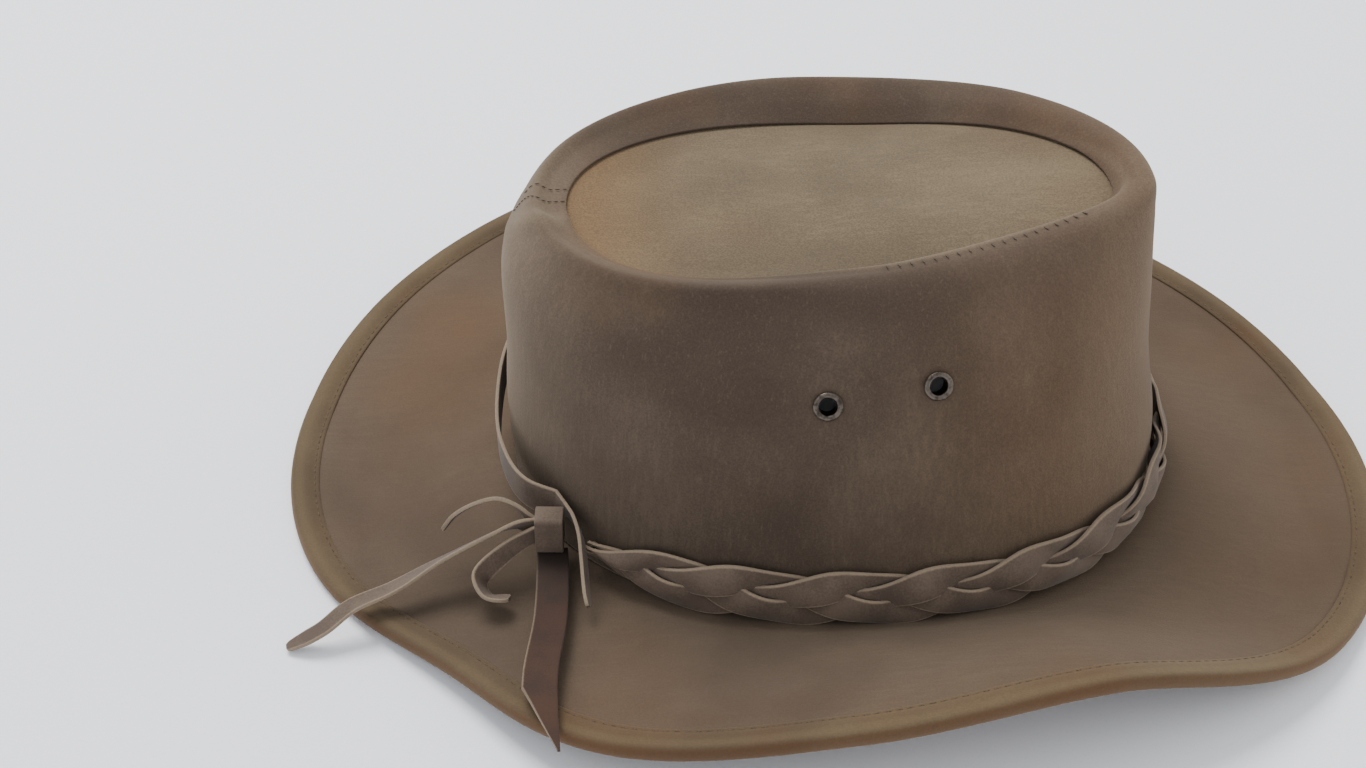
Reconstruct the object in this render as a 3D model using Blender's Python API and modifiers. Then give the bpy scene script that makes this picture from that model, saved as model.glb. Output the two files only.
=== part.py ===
"""Leather bush hat: rolled-rim crown, wide hemmed brim, vent eyelets and braided band."""
import math
from collections import namedtuple

import bpy
from mathutils import Vector

MM = 0.001

# Leather and clearances, mm
CROWN_LEATHER = 1.8
BRIM_LEATHER = 2.6
HEM_LEATHER = 1.0
STRIP_LEATHER = 1.1
TAIL_LEATHER = 1.2
CLEARANCE = 0.35

# Crown at its foot, its height above the join with the brim, and how square its oval is
CROWN_FRONT_RADIUS = 103.5
CROWN_BACK_RADIUS = 104.0
CROWN_SIDE_RADIUS = 86.0
CROWN_HEIGHT = 102.5
SQUARENESS = 2.12

# Brim and hem, mm
JOIN_HEIGHT = 15.0
BRIM_RADIUS = 180.0
BRIM_LIFT = 31.0
BRIM_TUCK_LENGTH = 3.0
HEM_WIDTH = 8.0
HEM_ROUND = 0.25
HEM_NOSE = 0.42
HEM_HALF = BRIM_LEATHER / 2 + CLEARANCE + HEM_LEATHER
HEM_EDGE = CLEARANCE + HEM_LEATHER + HEM_ROUND
FOOT_GAP = 2 * CLEARANCE

# Tip panel, mm, and its shift toward the roomier side as a share of the difference
TIP_LAP = 3.0
TIP_DROP = CROWN_LEATHER + CLEARANCE
TIP_SAG = 1.5
TIP_RIDGE = 2.5
TIP_SHIFT = 0.3

# Eyelets, mm
EYELET_BORE = 2.6
EYELET_THICKNESS = 0.4
EYELET_FLANGE = 1.75
EYELET_WASHER = 1.4
EYELET_DOME = 0.95
EYELET_SEAT = CLEARANCE + 0.3
CUTTER_DEPTH = 12.0

# Braid, mm, with its swing and strips as shares of its width
BRAID_WIDTH = 15.1
BRAID_SWING = 0.311 * BRAID_WIDTH
BRAID_STRIP = 0.3775 * BRAID_WIDTH
BRAID_PERIOD = 89.0
BRAID_FOOT = 2.65
BRAID_FRONT_RISE = 1.8
BRAID_LIFT = STRIP_LEATHER + CLEARANCE
BRAID_ROLL = 0.965 * BRAID_LIFT
BRAID_STANDOFF = BRAID_LIFT + BRAID_ROLL + STRIP_LEATHER / 2 + 0.6 * CLEARANCE
BRAID_OUTSIDE = BRAID_STANDOFF + BRAID_LIFT + BRAID_ROLL + STRIP_LEATHER / 2
BRAID_HEIGHT = JOIN_HEIGHT + BRAID_FOOT + BRAID_WIDTH / 2

# Keeper: a short leather tube round the roots of three tails, mm and degrees
TAIL_WIDTH = 6.2
KEEPER_ANGLE = 213.5
KEEPER_STAND = 8.4
KEEPER_LENGTH = 8.5
KEEPER_WALL = 1.2
KEEPER_ROOM = 2.2
KEEPER_CORNER = 2.0
ROOT_PITCH = TAIL_LEATHER + CLEARANCE
KEEPER_HEIGHT = TAIL_WIDTH + 2 * (KEEPER_WALL + KEEPER_ROOM)
KEEPER_DEPTH = 3 * TAIL_LEATHER + 6 * CLEARANCE + 2 * KEEPER_WALL

# Strap, wide tail and the reach of the tails, mm
STRAP_WIDTH = 11.0
STRAP_CLIMB = 12.3
STRAP_STANDOFF = BRAID_OUTSIDE + CLEARANCE + STRIP_LEATHER / 2
WIDE_TAIL_WIDTH = 10.5
TAIL_REACH = 80.0
ROOT_LIFT = KEEPER_STAND + KEEPER_HEIGHT / 2
WIDE_TAIL_LIFT = KEEPER_STAND - CLEARANCE - TAIL_LEATHER / 2

# The braid starts ahead of the keeper and ends under the strap's start, degrees
BRAID_AHEAD = 9.5
STRAP_BACK = 85.5
STRAP_LAP = 12.0
BRAID_START = KEEPER_ANGLE + BRAID_AHEAD
BRAID_SPAN = 360.0 - BRAID_AHEAD - STRAP_BACK + STRAP_LAP
BRAID_PHASE = 180.0
BRAID_PHASE_ANGLE = BRAID_START + 37.0

# Facets
AROUND = 56
BRIM_RINGS = 5
SECTION_STEPS = 2
TIP_RINGS = 3
BRAID_STEPS = 22
STRIP_STEPS = 4
EYELET_STEPS = 14
ANGLE_STEP = 0.5
PLACE_STEP = 0.02
END_NARROWING = 0.35

# Crown sections from the foot up over the rim and in to the tip, as shares of the
# crown's reaches at its foot and of its height. Near is the -Y side, and pinch
# narrows it toward the front.
Section = namedtuple("Section", "front back near far pinch rise_front rise_back rise_near rise_far")
CROWN = (
    Section(1.000, 1.000, 1.000, 1.000, 0.00, 0.000, 0.000, 0.000, 0.000),
    Section(0.993, 1.017, 0.959, 0.983, 0.00, 0.234, 0.234, 0.234, 0.234),
    Section(0.948, 1.011, 0.889, 0.942, 0.03, 0.484, 0.470, 0.488, 0.488),
    Section(0.915, 1.011, 0.772, 0.896, 0.10, 0.778, 0.733, 0.761, 0.751),
    Section(0.900, 0.960, 0.673, 0.847, 0.22, 0.936, 0.864, 0.921, 0.897),
    Section(0.888, 0.910, 0.599, 0.792, 0.30, 1.010, 0.936, 0.977, 0.961),
    Section(0.829, 0.869, 0.517, 0.699, 0.30, 1.020, 0.914, 0.956, 0.928),
    Section(0.775, 0.816, 0.475, 0.619, 0.32, 0.965, 0.900, 0.893, 0.872),
)
RIM_PLACE = 4.0

# Shallow dents of the crown wall: where each is deepest, its depth as a share of the
# crown's side reach, and how far it spreads.
Dent = namedtuple("Dent", "angle section depth angle_reach section_reach")
DENTS = (
    Dent(238.0, 3.9, 0.035, 22.0, 0.8),
    Dent(285.0, 1.6, 0.016, 26.0, 0.9),
    Dent(95.0, 2.4, 0.019, 30.0, 0.9),
)

# Brim edge every 30 degrees from the front, turning toward the far side, as shares of
# the brim's reach and lift.
Edge = namedtuple("Edge", "reach height")
BRIM_EDGE = (
    Edge(1.004, 0.01),
    Edge(0.972, 0.26),
    Edge(0.850, 0.74),
    Edge(0.811, 0.94),
    Edge(0.906, 0.84),
    Edge(0.994, 0.34),
    Edge(0.992, 0.01),
    Edge(0.932, 0.145),
    Edge(0.859, 0.45),
    Edge(0.794, 0.90),
    Edge(0.805, 1.00),
    Edge(0.954, 0.225),
)

# Where the brim's edge is drawn in: its angle, its depth as a share of the brim's reach,
# and how far it spreads.
Drawn = namedtuple("Drawn", "angle depth spread")
DRAWN_EDGE = Drawn(219.0, 0.058, 15.0)

# Eyelets: angle on the crown and the section share where each is set.
Eyelet = namedtuple("Eyelet", "name angle section")
EYELETS = (
    Eyelet("eyelet_near_back", 263.4, 2.66),
    Eyelet("eyelet_near_front", 289.2, 2.80),
    Eyelet("eyelet_far_back", 96.6, 2.66),
    Eyelet("eyelet_far_front", 70.8, 2.80),
)

# Strap round the back of the crown: shares of its angle before the keeper, of its climb
# above the braid's middle and of its standoff from the wall.
StrapRow = namedtuple("StrapRow", "before climb standoff")
STRAP = (
    StrapRow(1.000, 0.02, 1.02),
    StrapRow(0.813, 0.35, 0.90),
    StrapRow(0.602, 0.92, 0.38),
    StrapRow(0.368, 1.00, 0.30),
    StrapRow(0.205, 0.72, 0.74),
    StrapRow(0.099, 0.59, 0.87),
    StrapRow(0.029, 0.51, 0.28),
)

# Loose strips: shares of the tails' reach ahead (+X) and aside (+Y) of where the strip
# starts, 1 over the brim or 0 over the floor, share of its lift, and tilt in degrees.
Row = namedtuple("Row", "ahead aside over lift tilt")
STRAP_FALL = (
    Row(0.011, 0.060, 1, 1.190, 78.0),
    Row(0.044, 0.005, 1, 1.156, 58.0),
    Row(0.069, -0.060, 1, 0.980, 35.0),
    Row(0.082, -0.135, 1, 0.730, 20.0),
    Row(0.092, -0.216, 1, 0.534, 10.0),
    Row(0.104, -0.298, 1, 0.395, 8.0),
)
STRAP_FALL_WIDTH = 0.70
STRAP_END_WIDTH = 0.55

# Tails: widths at root and end as shares of a width, layer in the keeper, and route.
Tail = namedtuple("Tail", "name width root end layer lift route")
TAILS = (
    Tail("tail_long", TAIL_WIDTH, 0.97, 1.21, 0, ROOT_LIFT, (
        Row(-0.024, 0.000, 1, 1.075, -89.0),
        Row(-0.068, 0.000, 1, 1.158, -84.0),
        Row(-0.130, -0.012, 1, 1.277, -55.0),
        Row(-0.230, -0.035, 1, 1.187, -38.0),
        Row(-0.428, -0.068, 1, 0.800, -30.0),
        Row(-0.592, -0.139, 1, 0.563, -12.0),
        Row(-0.742, -0.206, 1, 0.419, -4.0),
        Row(-0.855, -0.272, 0, 0.437, -2.0),
        Row(-0.986, -0.304, 0, 0.081, 0.0),
    )),
    Tail("tail_thin", TAIL_WIDTH, 0.56, 0.40, 1, ROOT_LIFT, (
        Row(-0.024, 0.000, 1, 1.085, -88.0),
        Row(-0.068, 0.004, 1, 1.203, -80.0),
        Row(-0.130, 0.026, 1, 1.522, -50.0),
        Row(-0.205, 0.046, 1, 1.651, -38.0),
        Row(-0.292, 0.052, 1, 1.541, -38.0),
        Row(-0.368, 0.052, 1, 1.313, -38.0),
        Row(-0.418, 0.046, 1, 0.995, -38.0),
    )),
    Tail("tail_wide", WIDE_TAIL_WIDTH, 0.905, 1.0, 0, WIDE_TAIL_LIFT, (
        Row(0.008, -0.010, 1, 0.99, 0.0),
        Row(0.015, -0.110, 1, 1.00, 0.0),
        Row(0.020, -0.360, 1, 0.98, 2.0),
        Row(0.001, -0.610, 1, 0.91, 0.0),
        Row(0.008, -0.798, 1, 0.81, 0.0),
        Row(0.026, -0.998, 1, 0.55, -2.0),
    )),
    Tail("tail_loop", TAIL_WIDTH, 1.0, 1.13, -1, ROOT_LIFT, (
        Row(-0.024, -0.001, 1, 1.030, 90.0),
        Row(-0.068, -0.009, 1, 1.020, 91.0),
        Row(-0.161, -0.056, 1, 0.923, 76.0),
        Row(-0.255, -0.116, 1, 0.635, 60.0),
        Row(-0.230, -0.178, 1, 0.415, 40.0),
        Row(-0.142, -0.203, 1, 0.402, 20.0),
    )),
)

# Finishes
Finish = namedtuple("Finish", "colour roughness metallic")
CROWN_FINISH = Finish((0.11, 0.075, 0.05), 0.9, 0.0)
TIP_FINISH = Finish((0.22, 0.16, 0.1), 0.9, 0.0)
BRIM_FINISH = Finish((0.15, 0.095, 0.06), 0.9, 0.0)
HEM_FINISH = Finish((0.14, 0.08, 0.04), 0.85, 0.0)
BAND_FINISH = Finish((0.18, 0.115, 0.08), 0.85, 0.0)
EYELET_FINISH = Finish((0.35, 0.33, 0.31), 0.4, 1.0)
SMOOTH_ANGLE = 35.0

COLLECTION = bpy.data.collections.new("leather_bush_hat")
CUTTERS = bpy.data.collections.new("cutters")


def clear_scene():
    """Remove the objects of the starting scene."""
    for item in list(bpy.data.objects):
        bpy.data.objects.remove(item, do_unlink=True)
    bpy.context.scene.collection.children.link(COLLECTION)
    bpy.context.scene.collection.children.link(CUTTERS)


def plain_material(name, finish):
    """Return a plain material of one colour."""
    material = bpy.data.materials.new(name)
    material.use_nodes = True
    shader = material.node_tree.nodes["Principled BSDF"]
    shader.inputs["Base Color"].default_value = (*finish.colour, 1.0)
    shader.inputs["Roughness"].default_value = finish.roughness
    shader.inputs["Metallic"].default_value = finish.metallic
    return material


def add_mesh(name, points, faces, finish):
    """Make an object from points in mm and faces, with its own material."""
    mesh = bpy.data.meshes.new(name)
    mesh.from_pydata([tuple(c * MM for c in p) for p in points], [], faces)
    mesh.update()
    item = bpy.data.objects.new(name, mesh)
    COLLECTION.objects.link(item)
    mesh.materials.append(plain_material(name + "_finish", finish))
    mesh.shade_smooth()
    mesh.set_sharp_from_angle(angle=math.radians(SMOOTH_ANGLE))
    return item


def thicken(item, thickness, offset):
    """Give an open surface its leather thickness."""
    solid = item.modifiers.new("leather", "SOLIDIFY")
    solid.thickness = thickness * MM
    solid.offset = offset
    solid.use_even_offset = True


def grid_faces(rows, columns):
    """Quads of a grid that closes round its columns."""
    faces = []
    for row in range(rows - 1):
        for column in range(columns):
            following = (column + 1) % columns
            faces.append((
                row * columns + column,
                row * columns + following,
                (row + 1) * columns + following,
                (row + 1) * columns + column,
            ))
    return faces


def loop_faces(columns, corners):
    """Quads of a closed profile carried round a closed path."""
    faces = []
    for column in range(columns):
        following = (column + 1) % columns
        for corner in range(corners):
            after = (corner + 1) % corners
            faces.append((
                column * corners + corner,
                column * corners + after,
                following * corners + after,
                following * corners + corner,
            ))
    return faces


def catmull(p0, p1, p2, p3, t):
    """Blend four value tuples at share t between the middle two."""
    return tuple(
        b + 0.5 * t * ((c - a) + t * ((2 * a - 5 * b + 4 * c - d) + t * (3 * (b - c) + d - a)))
        for a, b, c, d in zip(p0, p1, p2, p3)
    )


def spline(rows, place):
    """Values of a smooth curve through rows at a fractional place."""
    last = len(rows) - 1
    start = min(max(int(math.floor(place)), 0), last - 1)
    p1, p2 = rows[start], rows[start + 1]
    p0 = rows[start - 1] if start > 0 else tuple(2 * a - b for a, b in zip(p1, p2))
    p3 = rows[start + 2] if start + 2 <= last else tuple(2 * b - a for a, b in zip(p1, p2))
    return catmull(p0, p1, p2, p3, place - start)


def ring_spline(rows, degrees):
    """Values at an angle on a closed curve through evenly spaced rows."""
    count = len(rows)
    place = (degrees % 360.0) / 360.0 * count
    start = int(place)
    picked = [rows[(start + step) % count] for step in (-1, 0, 1, 2)]
    return catmull(*picked, place - start)


def section_point(row, degrees, grow=0.0):
    """Point of a crown section at a plan angle, with its reach grown in mm."""
    cos, sin = math.cos(math.radians(degrees)), math.sin(math.radians(degrees))
    long_reach = (row.front * CROWN_FRONT_RADIUS if cos > 0 else row.back * CROWN_BACK_RADIUS) + grow
    side_reach = (row.far if sin > 0 else row.near) * CROWN_SIDE_RADIUS + grow
    reach = (abs(cos / long_reach) ** SQUARENESS + abs(sin / side_reach) ** SQUARENESS) ** (-1 / SQUARENESS)
    x, y = reach * cos, reach * sin
    if y < 0:
        y *= 1 - row.pinch * x / long_reach
    end_rise = row.rise_front if cos > 0 else row.rise_back
    side_rise = row.rise_far if sin > 0 else row.rise_near
    return Vector((x, y, JOIN_HEIGHT + CROWN_HEIGHT * (end_rise * cos * cos + side_rise * sin * sin)))


def crown_point(place, degrees):
    """Point of the crown's outer face at a section place and plan angle."""
    point = section_point(Section(*spline(CROWN, place)), degrees)
    inward = Vector((-math.cos(math.radians(degrees)), -math.sin(math.radians(degrees)), 0.0))
    for dent in DENTS:
        turn = ((degrees - dent.angle + 180.0) % 360.0 - 180.0) / dent.angle_reach
        climb = (place - dent.section) / dent.section_reach
        point += inward * dent.depth * CROWN_SIDE_RADIUS * math.exp(-turn * turn - climb * climb)
    return point


def wall_frame(degrees, place):
    """Point, outward normal and upward direction of the crown's outer face."""
    along = crown_point(place, degrees + ANGLE_STEP) - crown_point(place, degrees - ANGLE_STEP)
    up = crown_point(place + PLACE_STEP, degrees) - crown_point(place - PLACE_STEP, degrees)
    return crown_point(place, degrees), along.cross(up).normalized(), up.normalized()


def wall_at(degrees, height):
    """The crown wall's frame at a height above the floor."""
    low, high = 0.0, RIM_PLACE
    for _ in range(30):
        middle = (low + high) / 2
        if crown_point(middle, degrees).z < height:
            low = middle
        else:
            high = middle
    return wall_frame(degrees, low)


def brim_point(degrees, share):
    """Point of the brim's middle surface, from its inner edge (0) to its outer edge (1)."""
    inner = section_point(CROWN[0], degrees, -BRIM_TUCK_LENGTH)
    edge = Edge(*ring_spline(BRIM_EDGE, degrees))
    turn = ((degrees - DRAWN_EDGE.angle + 180.0) % 360.0 - 180.0) / DRAWN_EDGE.spread
    reach = (edge.reach - DRAWN_EDGE.depth * math.exp(-turn * turn)) * BRIM_RADIUS
    angle = math.radians(degrees)
    outer = reach * Vector((math.cos(angle), math.sin(angle), 0.0))
    point = inner.lerp(outer, share)
    start = JOIN_HEIGHT - BRIM_LEATHER / 2
    bend = 0.5 * math.sin(math.pi / 2 * share) + 0.5 * share * share * (3 - 2 * share)
    point.z = max(start + (edge.height * BRIM_LIFT - start) * bend, HEM_HALF)
    return point


def brim_top(x, y):
    """Height of the brim's upper face under a point, or at its edge beyond it."""
    degrees = math.degrees(math.atan2(y, x))
    inner = brim_point(degrees, 0.0).xy.length
    outer = brim_point(degrees, 1.0).xy.length
    share = (math.hypot(x, y) - inner) / (outer - inner)
    return brim_point(degrees, min(max(share, 0.0), 1.0)).z + BRIM_LEATHER / 2


def foot_height(degrees):
    """Height of the wall's lower edge, just above the brim."""
    inner, edge = brim_point(degrees, 0.0), brim_point(degrees, 1.0)
    share = BRIM_TUCK_LENGTH / (edge - inner).length
    return brim_point(degrees, share).z + BRIM_LEATHER / 2 + FOOT_GAP


def crown_side():
    """Side wall with its rolled rim, open at foot and tip."""
    rings = (len(CROWN) - 1) * SECTION_STEPS + 1
    points = []
    for ring in range(rings):
        for column in range(AROUND):
            degrees = 360.0 * column / AROUND
            point = crown_point(ring / SECTION_STEPS, degrees)
            if ring == 0:
                point.z = foot_height(degrees)
            points.append(point)
    item = add_mesh("crown_side", points, grid_faces(rings, AROUND), CROWN_FINISH)
    thicken(item, CROWN_LEATHER, -1.0)
    return item


def crown_tip():
    """Recessed top panel, lapped under the rim."""
    row = CROWN[-1]
    height = JOIN_HEIGHT + CROWN_HEIGHT * (row.rise_front + row.rise_back) / 2 - TIP_DROP - TIP_SAG
    centre = Vector((0.0, TIP_SHIFT * (row.far - row.near) * CROWN_SIDE_RADIUS, height))
    points = [centre]
    for ring in range(1, TIP_RINGS + 1):
        share = ring / TIP_RINGS
        for column in range(AROUND):
            degrees = 360.0 * column / AROUND
            edge = section_point(row, degrees, TIP_LAP)
            edge.z -= TIP_DROP
            point = centre.lerp(edge, share)
            ridge = TIP_RIDGE * math.sin(math.pi * share) * math.cos(math.radians(degrees))
            point.z = height + (edge.z - height) * share * share + max(ridge, -TIP_RIDGE / 2)
            points.append(point)
    faces = [(0, 1 + column, 1 + (column + 1) % AROUND) for column in range(AROUND)]
    for face in grid_faces(TIP_RINGS, AROUND):
        faces.append(tuple(corner + 1 for corner in reversed(face)))
    item = add_mesh("crown_tip", points, faces, TIP_FINISH)
    thicken(item, CROWN_LEATHER, -1.0)


def brim():
    """The brim, with its inner edge tucked under the crown."""
    points = []
    for ring in range(BRIM_RINGS + 1):
        for column in range(AROUND):
            points.append(brim_point(360.0 * column / AROUND, ring / BRIM_RINGS))
    faces = [tuple(reversed(face)) for face in grid_faces(BRIM_RINGS + 1, AROUND)]
    item = add_mesh("brim", points, faces, BRIM_FINISH)
    thicken(item, BRIM_LEATHER, 0.0)


def brim_hem():
    """The hem, a folded channel round the brim's edge."""
    inner_half = BRIM_LEATHER / 2 + CLEARANCE
    nose = HEM_NOSE * HEM_HALF
    profile = (
        (HEM_WIDTH, HEM_HALF), (0.0, HEM_HALF), (-HEM_EDGE, nose), (-HEM_EDGE, -nose),
        (0.0, -HEM_HALF), (HEM_WIDTH, -HEM_HALF), (HEM_WIDTH, -inner_half),
        (-CLEARANCE, -inner_half), (-CLEARANCE, inner_half), (HEM_WIDTH, inner_half),
    )
    points = []
    for column in range(AROUND):
        degrees = 360.0 * column / AROUND
        edge = brim_point(degrees, 1.0)
        ring = brim_point(degrees, 1.0 - 1.0 / BRIM_RINGS)
        inward = (ring - edge).normalized()
        along = brim_point(degrees + ANGLE_STEP, 1.0) - brim_point(degrees - ANGLE_STEP, 1.0)
        normal = along.cross(inward).normalized()
        points.extend(edge + inward * reach + normal * rise for reach, rise in profile)
    add_mesh("brim_hem", points, loop_faces(AROUND, len(profile)), HEM_FINISH)


def eyelet(row, wall):
    """A vent eyelet and its hole through the crown wall."""
    origin, axis, _ = wall_frame(row.angle, row.section)
    barrel = EYELET_BORE + EYELET_THICKNESS
    flange = barrel + EYELET_FLANGE
    washer = barrel + EYELET_WASHER
    top = EYELET_SEAT + EYELET_DOME
    back = -CROWN_LEATHER - EYELET_SEAT
    profile = (
        (EYELET_BORE, top - EYELET_THICKNESS), (barrel + EYELET_THICKNESS, top),
        (flange, EYELET_SEAT + EYELET_THICKNESS / 2), (flange - EYELET_THICKNESS / 4, EYELET_SEAT),
        (barrel, EYELET_SEAT), (barrel, back), (washer, back),
        (washer, back - EYELET_THICKNESS), (EYELET_BORE, back - 1.5 * EYELET_THICKNESS),
    )
    side = axis.orthogonal().normalized()
    other = axis.cross(side)
    points = []
    for step in range(EYELET_STEPS):
        turn = 2 * math.pi * step / EYELET_STEPS
        out = side * math.cos(turn) + other * math.sin(turn)
        points.extend(origin + out * radius + axis * height for radius, height in profile)
    add_mesh(row.name, points, loop_faces(EYELET_STEPS, len(profile)), EYELET_FINISH)

    bpy.ops.mesh.primitive_cylinder_add(
        vertices=EYELET_STEPS * 2, radius=(barrel + CLEARANCE) * MM, depth=CUTTER_DEPTH * MM,
        location=origin * MM, rotation=axis.to_track_quat("Z", "Y").to_euler())
    cutter = bpy.context.object
    cutter.name = row.name + "_cutter"
    for owner in list(cutter.users_collection):
        owner.objects.unlink(cutter)
    CUTTERS.objects.link(cutter)
    cutter.hide_render = True
    cutter.display_type = "WIRE"
    hole = wall.modifiers.new(row.name + "_hole", "BOOLEAN")
    hole.operation = "DIFFERENCE"
    hole.solver = "EXACT"
    hole.object = cutter


def ribbon(name, lines, thickness):
    """A strip of leather from the pairs of points across it."""
    points, faces = [], []
    for pair in lines:
        points.extend(pair)
    for step in range(len(lines) - 1):
        faces.append((2 * step, 2 * step + 1, 2 * step + 3, 2 * step + 2))
    thicken(add_mesh(name, points, faces, BAND_FINISH), thickness, 0.0)


def braid_frame(degrees):
    """The wall's frame behind the middle of the braid."""
    return wall_at(degrees, BRAID_HEIGHT + BRAID_FRONT_RISE * math.cos(math.radians(degrees)))


def braid():
    """Three flat strips woven round the crown."""
    lengths = [0.0]
    previous = braid_frame(BRAID_START)[0]
    while (len(lengths) - 1) * ANGLE_STEP < BRAID_SPAN:
        point = braid_frame(BRAID_START + len(lengths) * ANGLE_STEP)[0]
        lengths.append(lengths[-1] + (point - previous).length)
        previous = point
    mark = lengths[int((BRAID_PHASE_ANGLE - BRAID_START) / ANGLE_STEP)]
    steps = int(lengths[-1] / BRAID_PERIOD * BRAID_STEPS)
    frames = []
    index = 0
    for step in range(steps + 1):
        length = lengths[-1] * step / steps
        while index < len(lengths) - 2 and lengths[index + 1] < length:
            index += 1
        share = (length - lengths[index]) / (lengths[index + 1] - lengths[index])
        frames.append((length, *braid_frame(BRAID_START + (index + share) * ANGLE_STEP)))
    for strand in range(3):
        lines = []
        for length, point, normal, up in frames:
            turn = 2 * math.pi * ((length - mark) / BRAID_PERIOD + strand / 3) + math.radians(BRAID_PHASE)
            middle = BRAID_SWING * math.cos(turn)
            pair = []
            for side in (-1, 1):
                out = BRAID_STANDOFF - BRAID_LIFT * math.sin(2 * turn) + BRAID_ROLL * side * math.sin(3 * turn)
                pair.append(point + up * (middle + side * BRAID_STRIP / 2) + normal * out)
            lines.append(pair)
        ribbon("band_strand_%d" % (strand + 1), lines, STRIP_LEATHER)


def keeper_centre():
    """Middle of the keeper, clear of the strap that lies on the wall behind it."""
    point, normal, _ = wall_at(KEEPER_ANGLE, BRAID_HEIGHT)
    reach = (KEEPER_LENGTH * abs(normal.x) + KEEPER_DEPTH * abs(normal.y)) / 2
    standoff = reach + STRAP[-1].standoff * STRAP_STANDOFF + STRIP_LEATHER / 2 + CLEARANCE
    centre = point + normal * standoff
    centre.z = brim_top(centre.x, centre.y) + ROOT_LIFT
    return centre


def loose_lines(start, route, lift, first_width, last_width):
    """Pairs of points across a loose strip, narrowing to its tip."""
    steps = (len(route) - 1) * STRIP_STEPS
    rows = [Row(*spline(route, step / STRIP_STEPS)) for step in range(steps + 1)]
    middles = []
    for row in rows:
        x, y = start.x + row.ahead * TAIL_REACH, start.y + row.aside * TAIL_REACH
        middles.append(Vector((x, y, row.over * brim_top(x, y) + row.lift * lift)))
    lines = []
    for step, row in enumerate(rows):
        along = (middles[min(step + 1, steps)] - middles[max(step - 1, 0)]).normalized()
        level = Vector((0.0, 0.0, 1.0)).cross(along).normalized()
        tilt = math.radians(row.tilt)
        across = level * math.cos(tilt) - along.cross(level) * math.sin(tilt)
        width = first_width + (last_width - first_width) * step / steps
        if step == steps:
            width *= END_NARROWING
        lines.append((middles[step] - across * width / 2, middles[step] + across * width / 2))
    return lines


def band_strap():
    """The plain strap round the back of the crown, falling to the brim past the keeper."""
    lines = []
    for step in range((len(STRAP) - 1) * STRIP_STEPS + 1):
        row = StrapRow(*spline(STRAP, step / STRIP_STEPS))
        point, normal, up = wall_at(KEEPER_ANGLE - row.before * STRAP_BACK, BRAID_HEIGHT + row.climb * STRAP_CLIMB)
        middle = point + normal * row.standoff * STRAP_STANDOFF
        lines.append((middle + up * STRAP_WIDTH / 2, middle - up * STRAP_WIDTH / 2))
    start = keeper_centre() + Vector((KEEPER_LENGTH / 2, 0.0, 0.0))
    widths = (STRAP_FALL_WIDTH * STRAP_WIDTH, STRAP_END_WIDTH * STRAP_WIDTH)
    lines.extend(loose_lines(start, STRAP_FALL, ROOT_LIFT, *widths))
    ribbon("band_strap", lines, STRIP_LEATHER)


def tail(row):
    """A loose end of the band, from its layer in the keeper to its tip."""
    start = keeper_centre() + Vector((0.0, row.layer * ROOT_PITCH, 0.0))
    lines = loose_lines(start, row.route, row.lift, row.root * row.width, row.end * row.width)
    ribbon(row.name, lines, TAIL_LEATHER)


def band_keeper():
    """Short leather tube wrapped round the roots of the tails."""
    centre = keeper_centre()
    points = []
    for shift in (-KEEPER_LENGTH / 2, KEEPER_LENGTH / 2):
        for shrink in (0.0, KEEPER_WALL):
            corner = max(KEEPER_CORNER - shrink, KEEPER_WALL / 2)
            depth = KEEPER_DEPTH / 2 - shrink - corner
            height = KEEPER_HEIGHT / 2 - shrink - corner
            for quarter, (sy, sz) in enumerate(((1, 1), (-1, 1), (-1, -1), (1, -1))):
                for turn in (0, 45, 90):
                    angle = math.radians(quarter * 90 + turn)
                    y = sy * depth + corner * math.cos(angle)
                    z = sz * height + corner * math.sin(angle)
                    points.append(centre + Vector((shift, y, z)))
    count = len(points) // 4
    outer, inner, far_outer, far_inner = (ring * count for ring in range(4))
    faces = []
    for step in range(count):
        after = (step + 1) % count
        faces.append((outer + step, outer + after, far_outer + after, far_outer + step))
        faces.append((inner + after, inner + step, far_inner + step, far_inner + after))
        faces.append((outer + after, outer + step, inner + step, inner + after))
        faces.append((far_outer + step, far_outer + after, far_inner + after, far_inner + step))
    add_mesh("band_keeper", points, faces, BAND_FINISH)


clear_scene()
WALL = crown_side()
crown_tip()
brim()
brim_hem()
for eyelet_row in EYELETS:
    eyelet(eyelet_row, WALL)
braid()
band_strap()
band_keeper()
for tail_row in TAILS:
    tail(tail_row)
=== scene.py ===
"""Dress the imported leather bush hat: nubuck leather, stitching, eyelets and braided band."""
from __future__ import annotations

import logging
import math
from dataclasses import dataclass, field
from enum import Enum
from typing import Any, Callable, Iterable, NamedTuple, Sequence

import bmesh
import bpy
import numpy as np
from mathutils import Matrix, Vector, noise


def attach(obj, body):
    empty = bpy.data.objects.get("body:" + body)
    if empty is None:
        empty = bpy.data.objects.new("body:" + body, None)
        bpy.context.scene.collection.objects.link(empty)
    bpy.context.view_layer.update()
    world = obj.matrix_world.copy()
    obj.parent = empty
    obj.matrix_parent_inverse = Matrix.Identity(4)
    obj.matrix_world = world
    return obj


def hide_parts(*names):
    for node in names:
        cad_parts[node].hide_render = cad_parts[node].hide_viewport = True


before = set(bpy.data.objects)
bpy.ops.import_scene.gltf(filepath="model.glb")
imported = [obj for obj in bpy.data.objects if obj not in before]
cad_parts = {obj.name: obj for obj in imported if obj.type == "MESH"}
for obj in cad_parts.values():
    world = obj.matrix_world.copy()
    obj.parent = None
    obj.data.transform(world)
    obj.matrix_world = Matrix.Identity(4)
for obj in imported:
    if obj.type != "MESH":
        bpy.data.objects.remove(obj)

MM = 0.001
LOG = logging.getLogger("leather_bush_hat")
Colour = tuple[float, float, float]
Place = tuple[float, float, float]
Pairs = tuple[tuple[float, float], ...]
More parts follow.
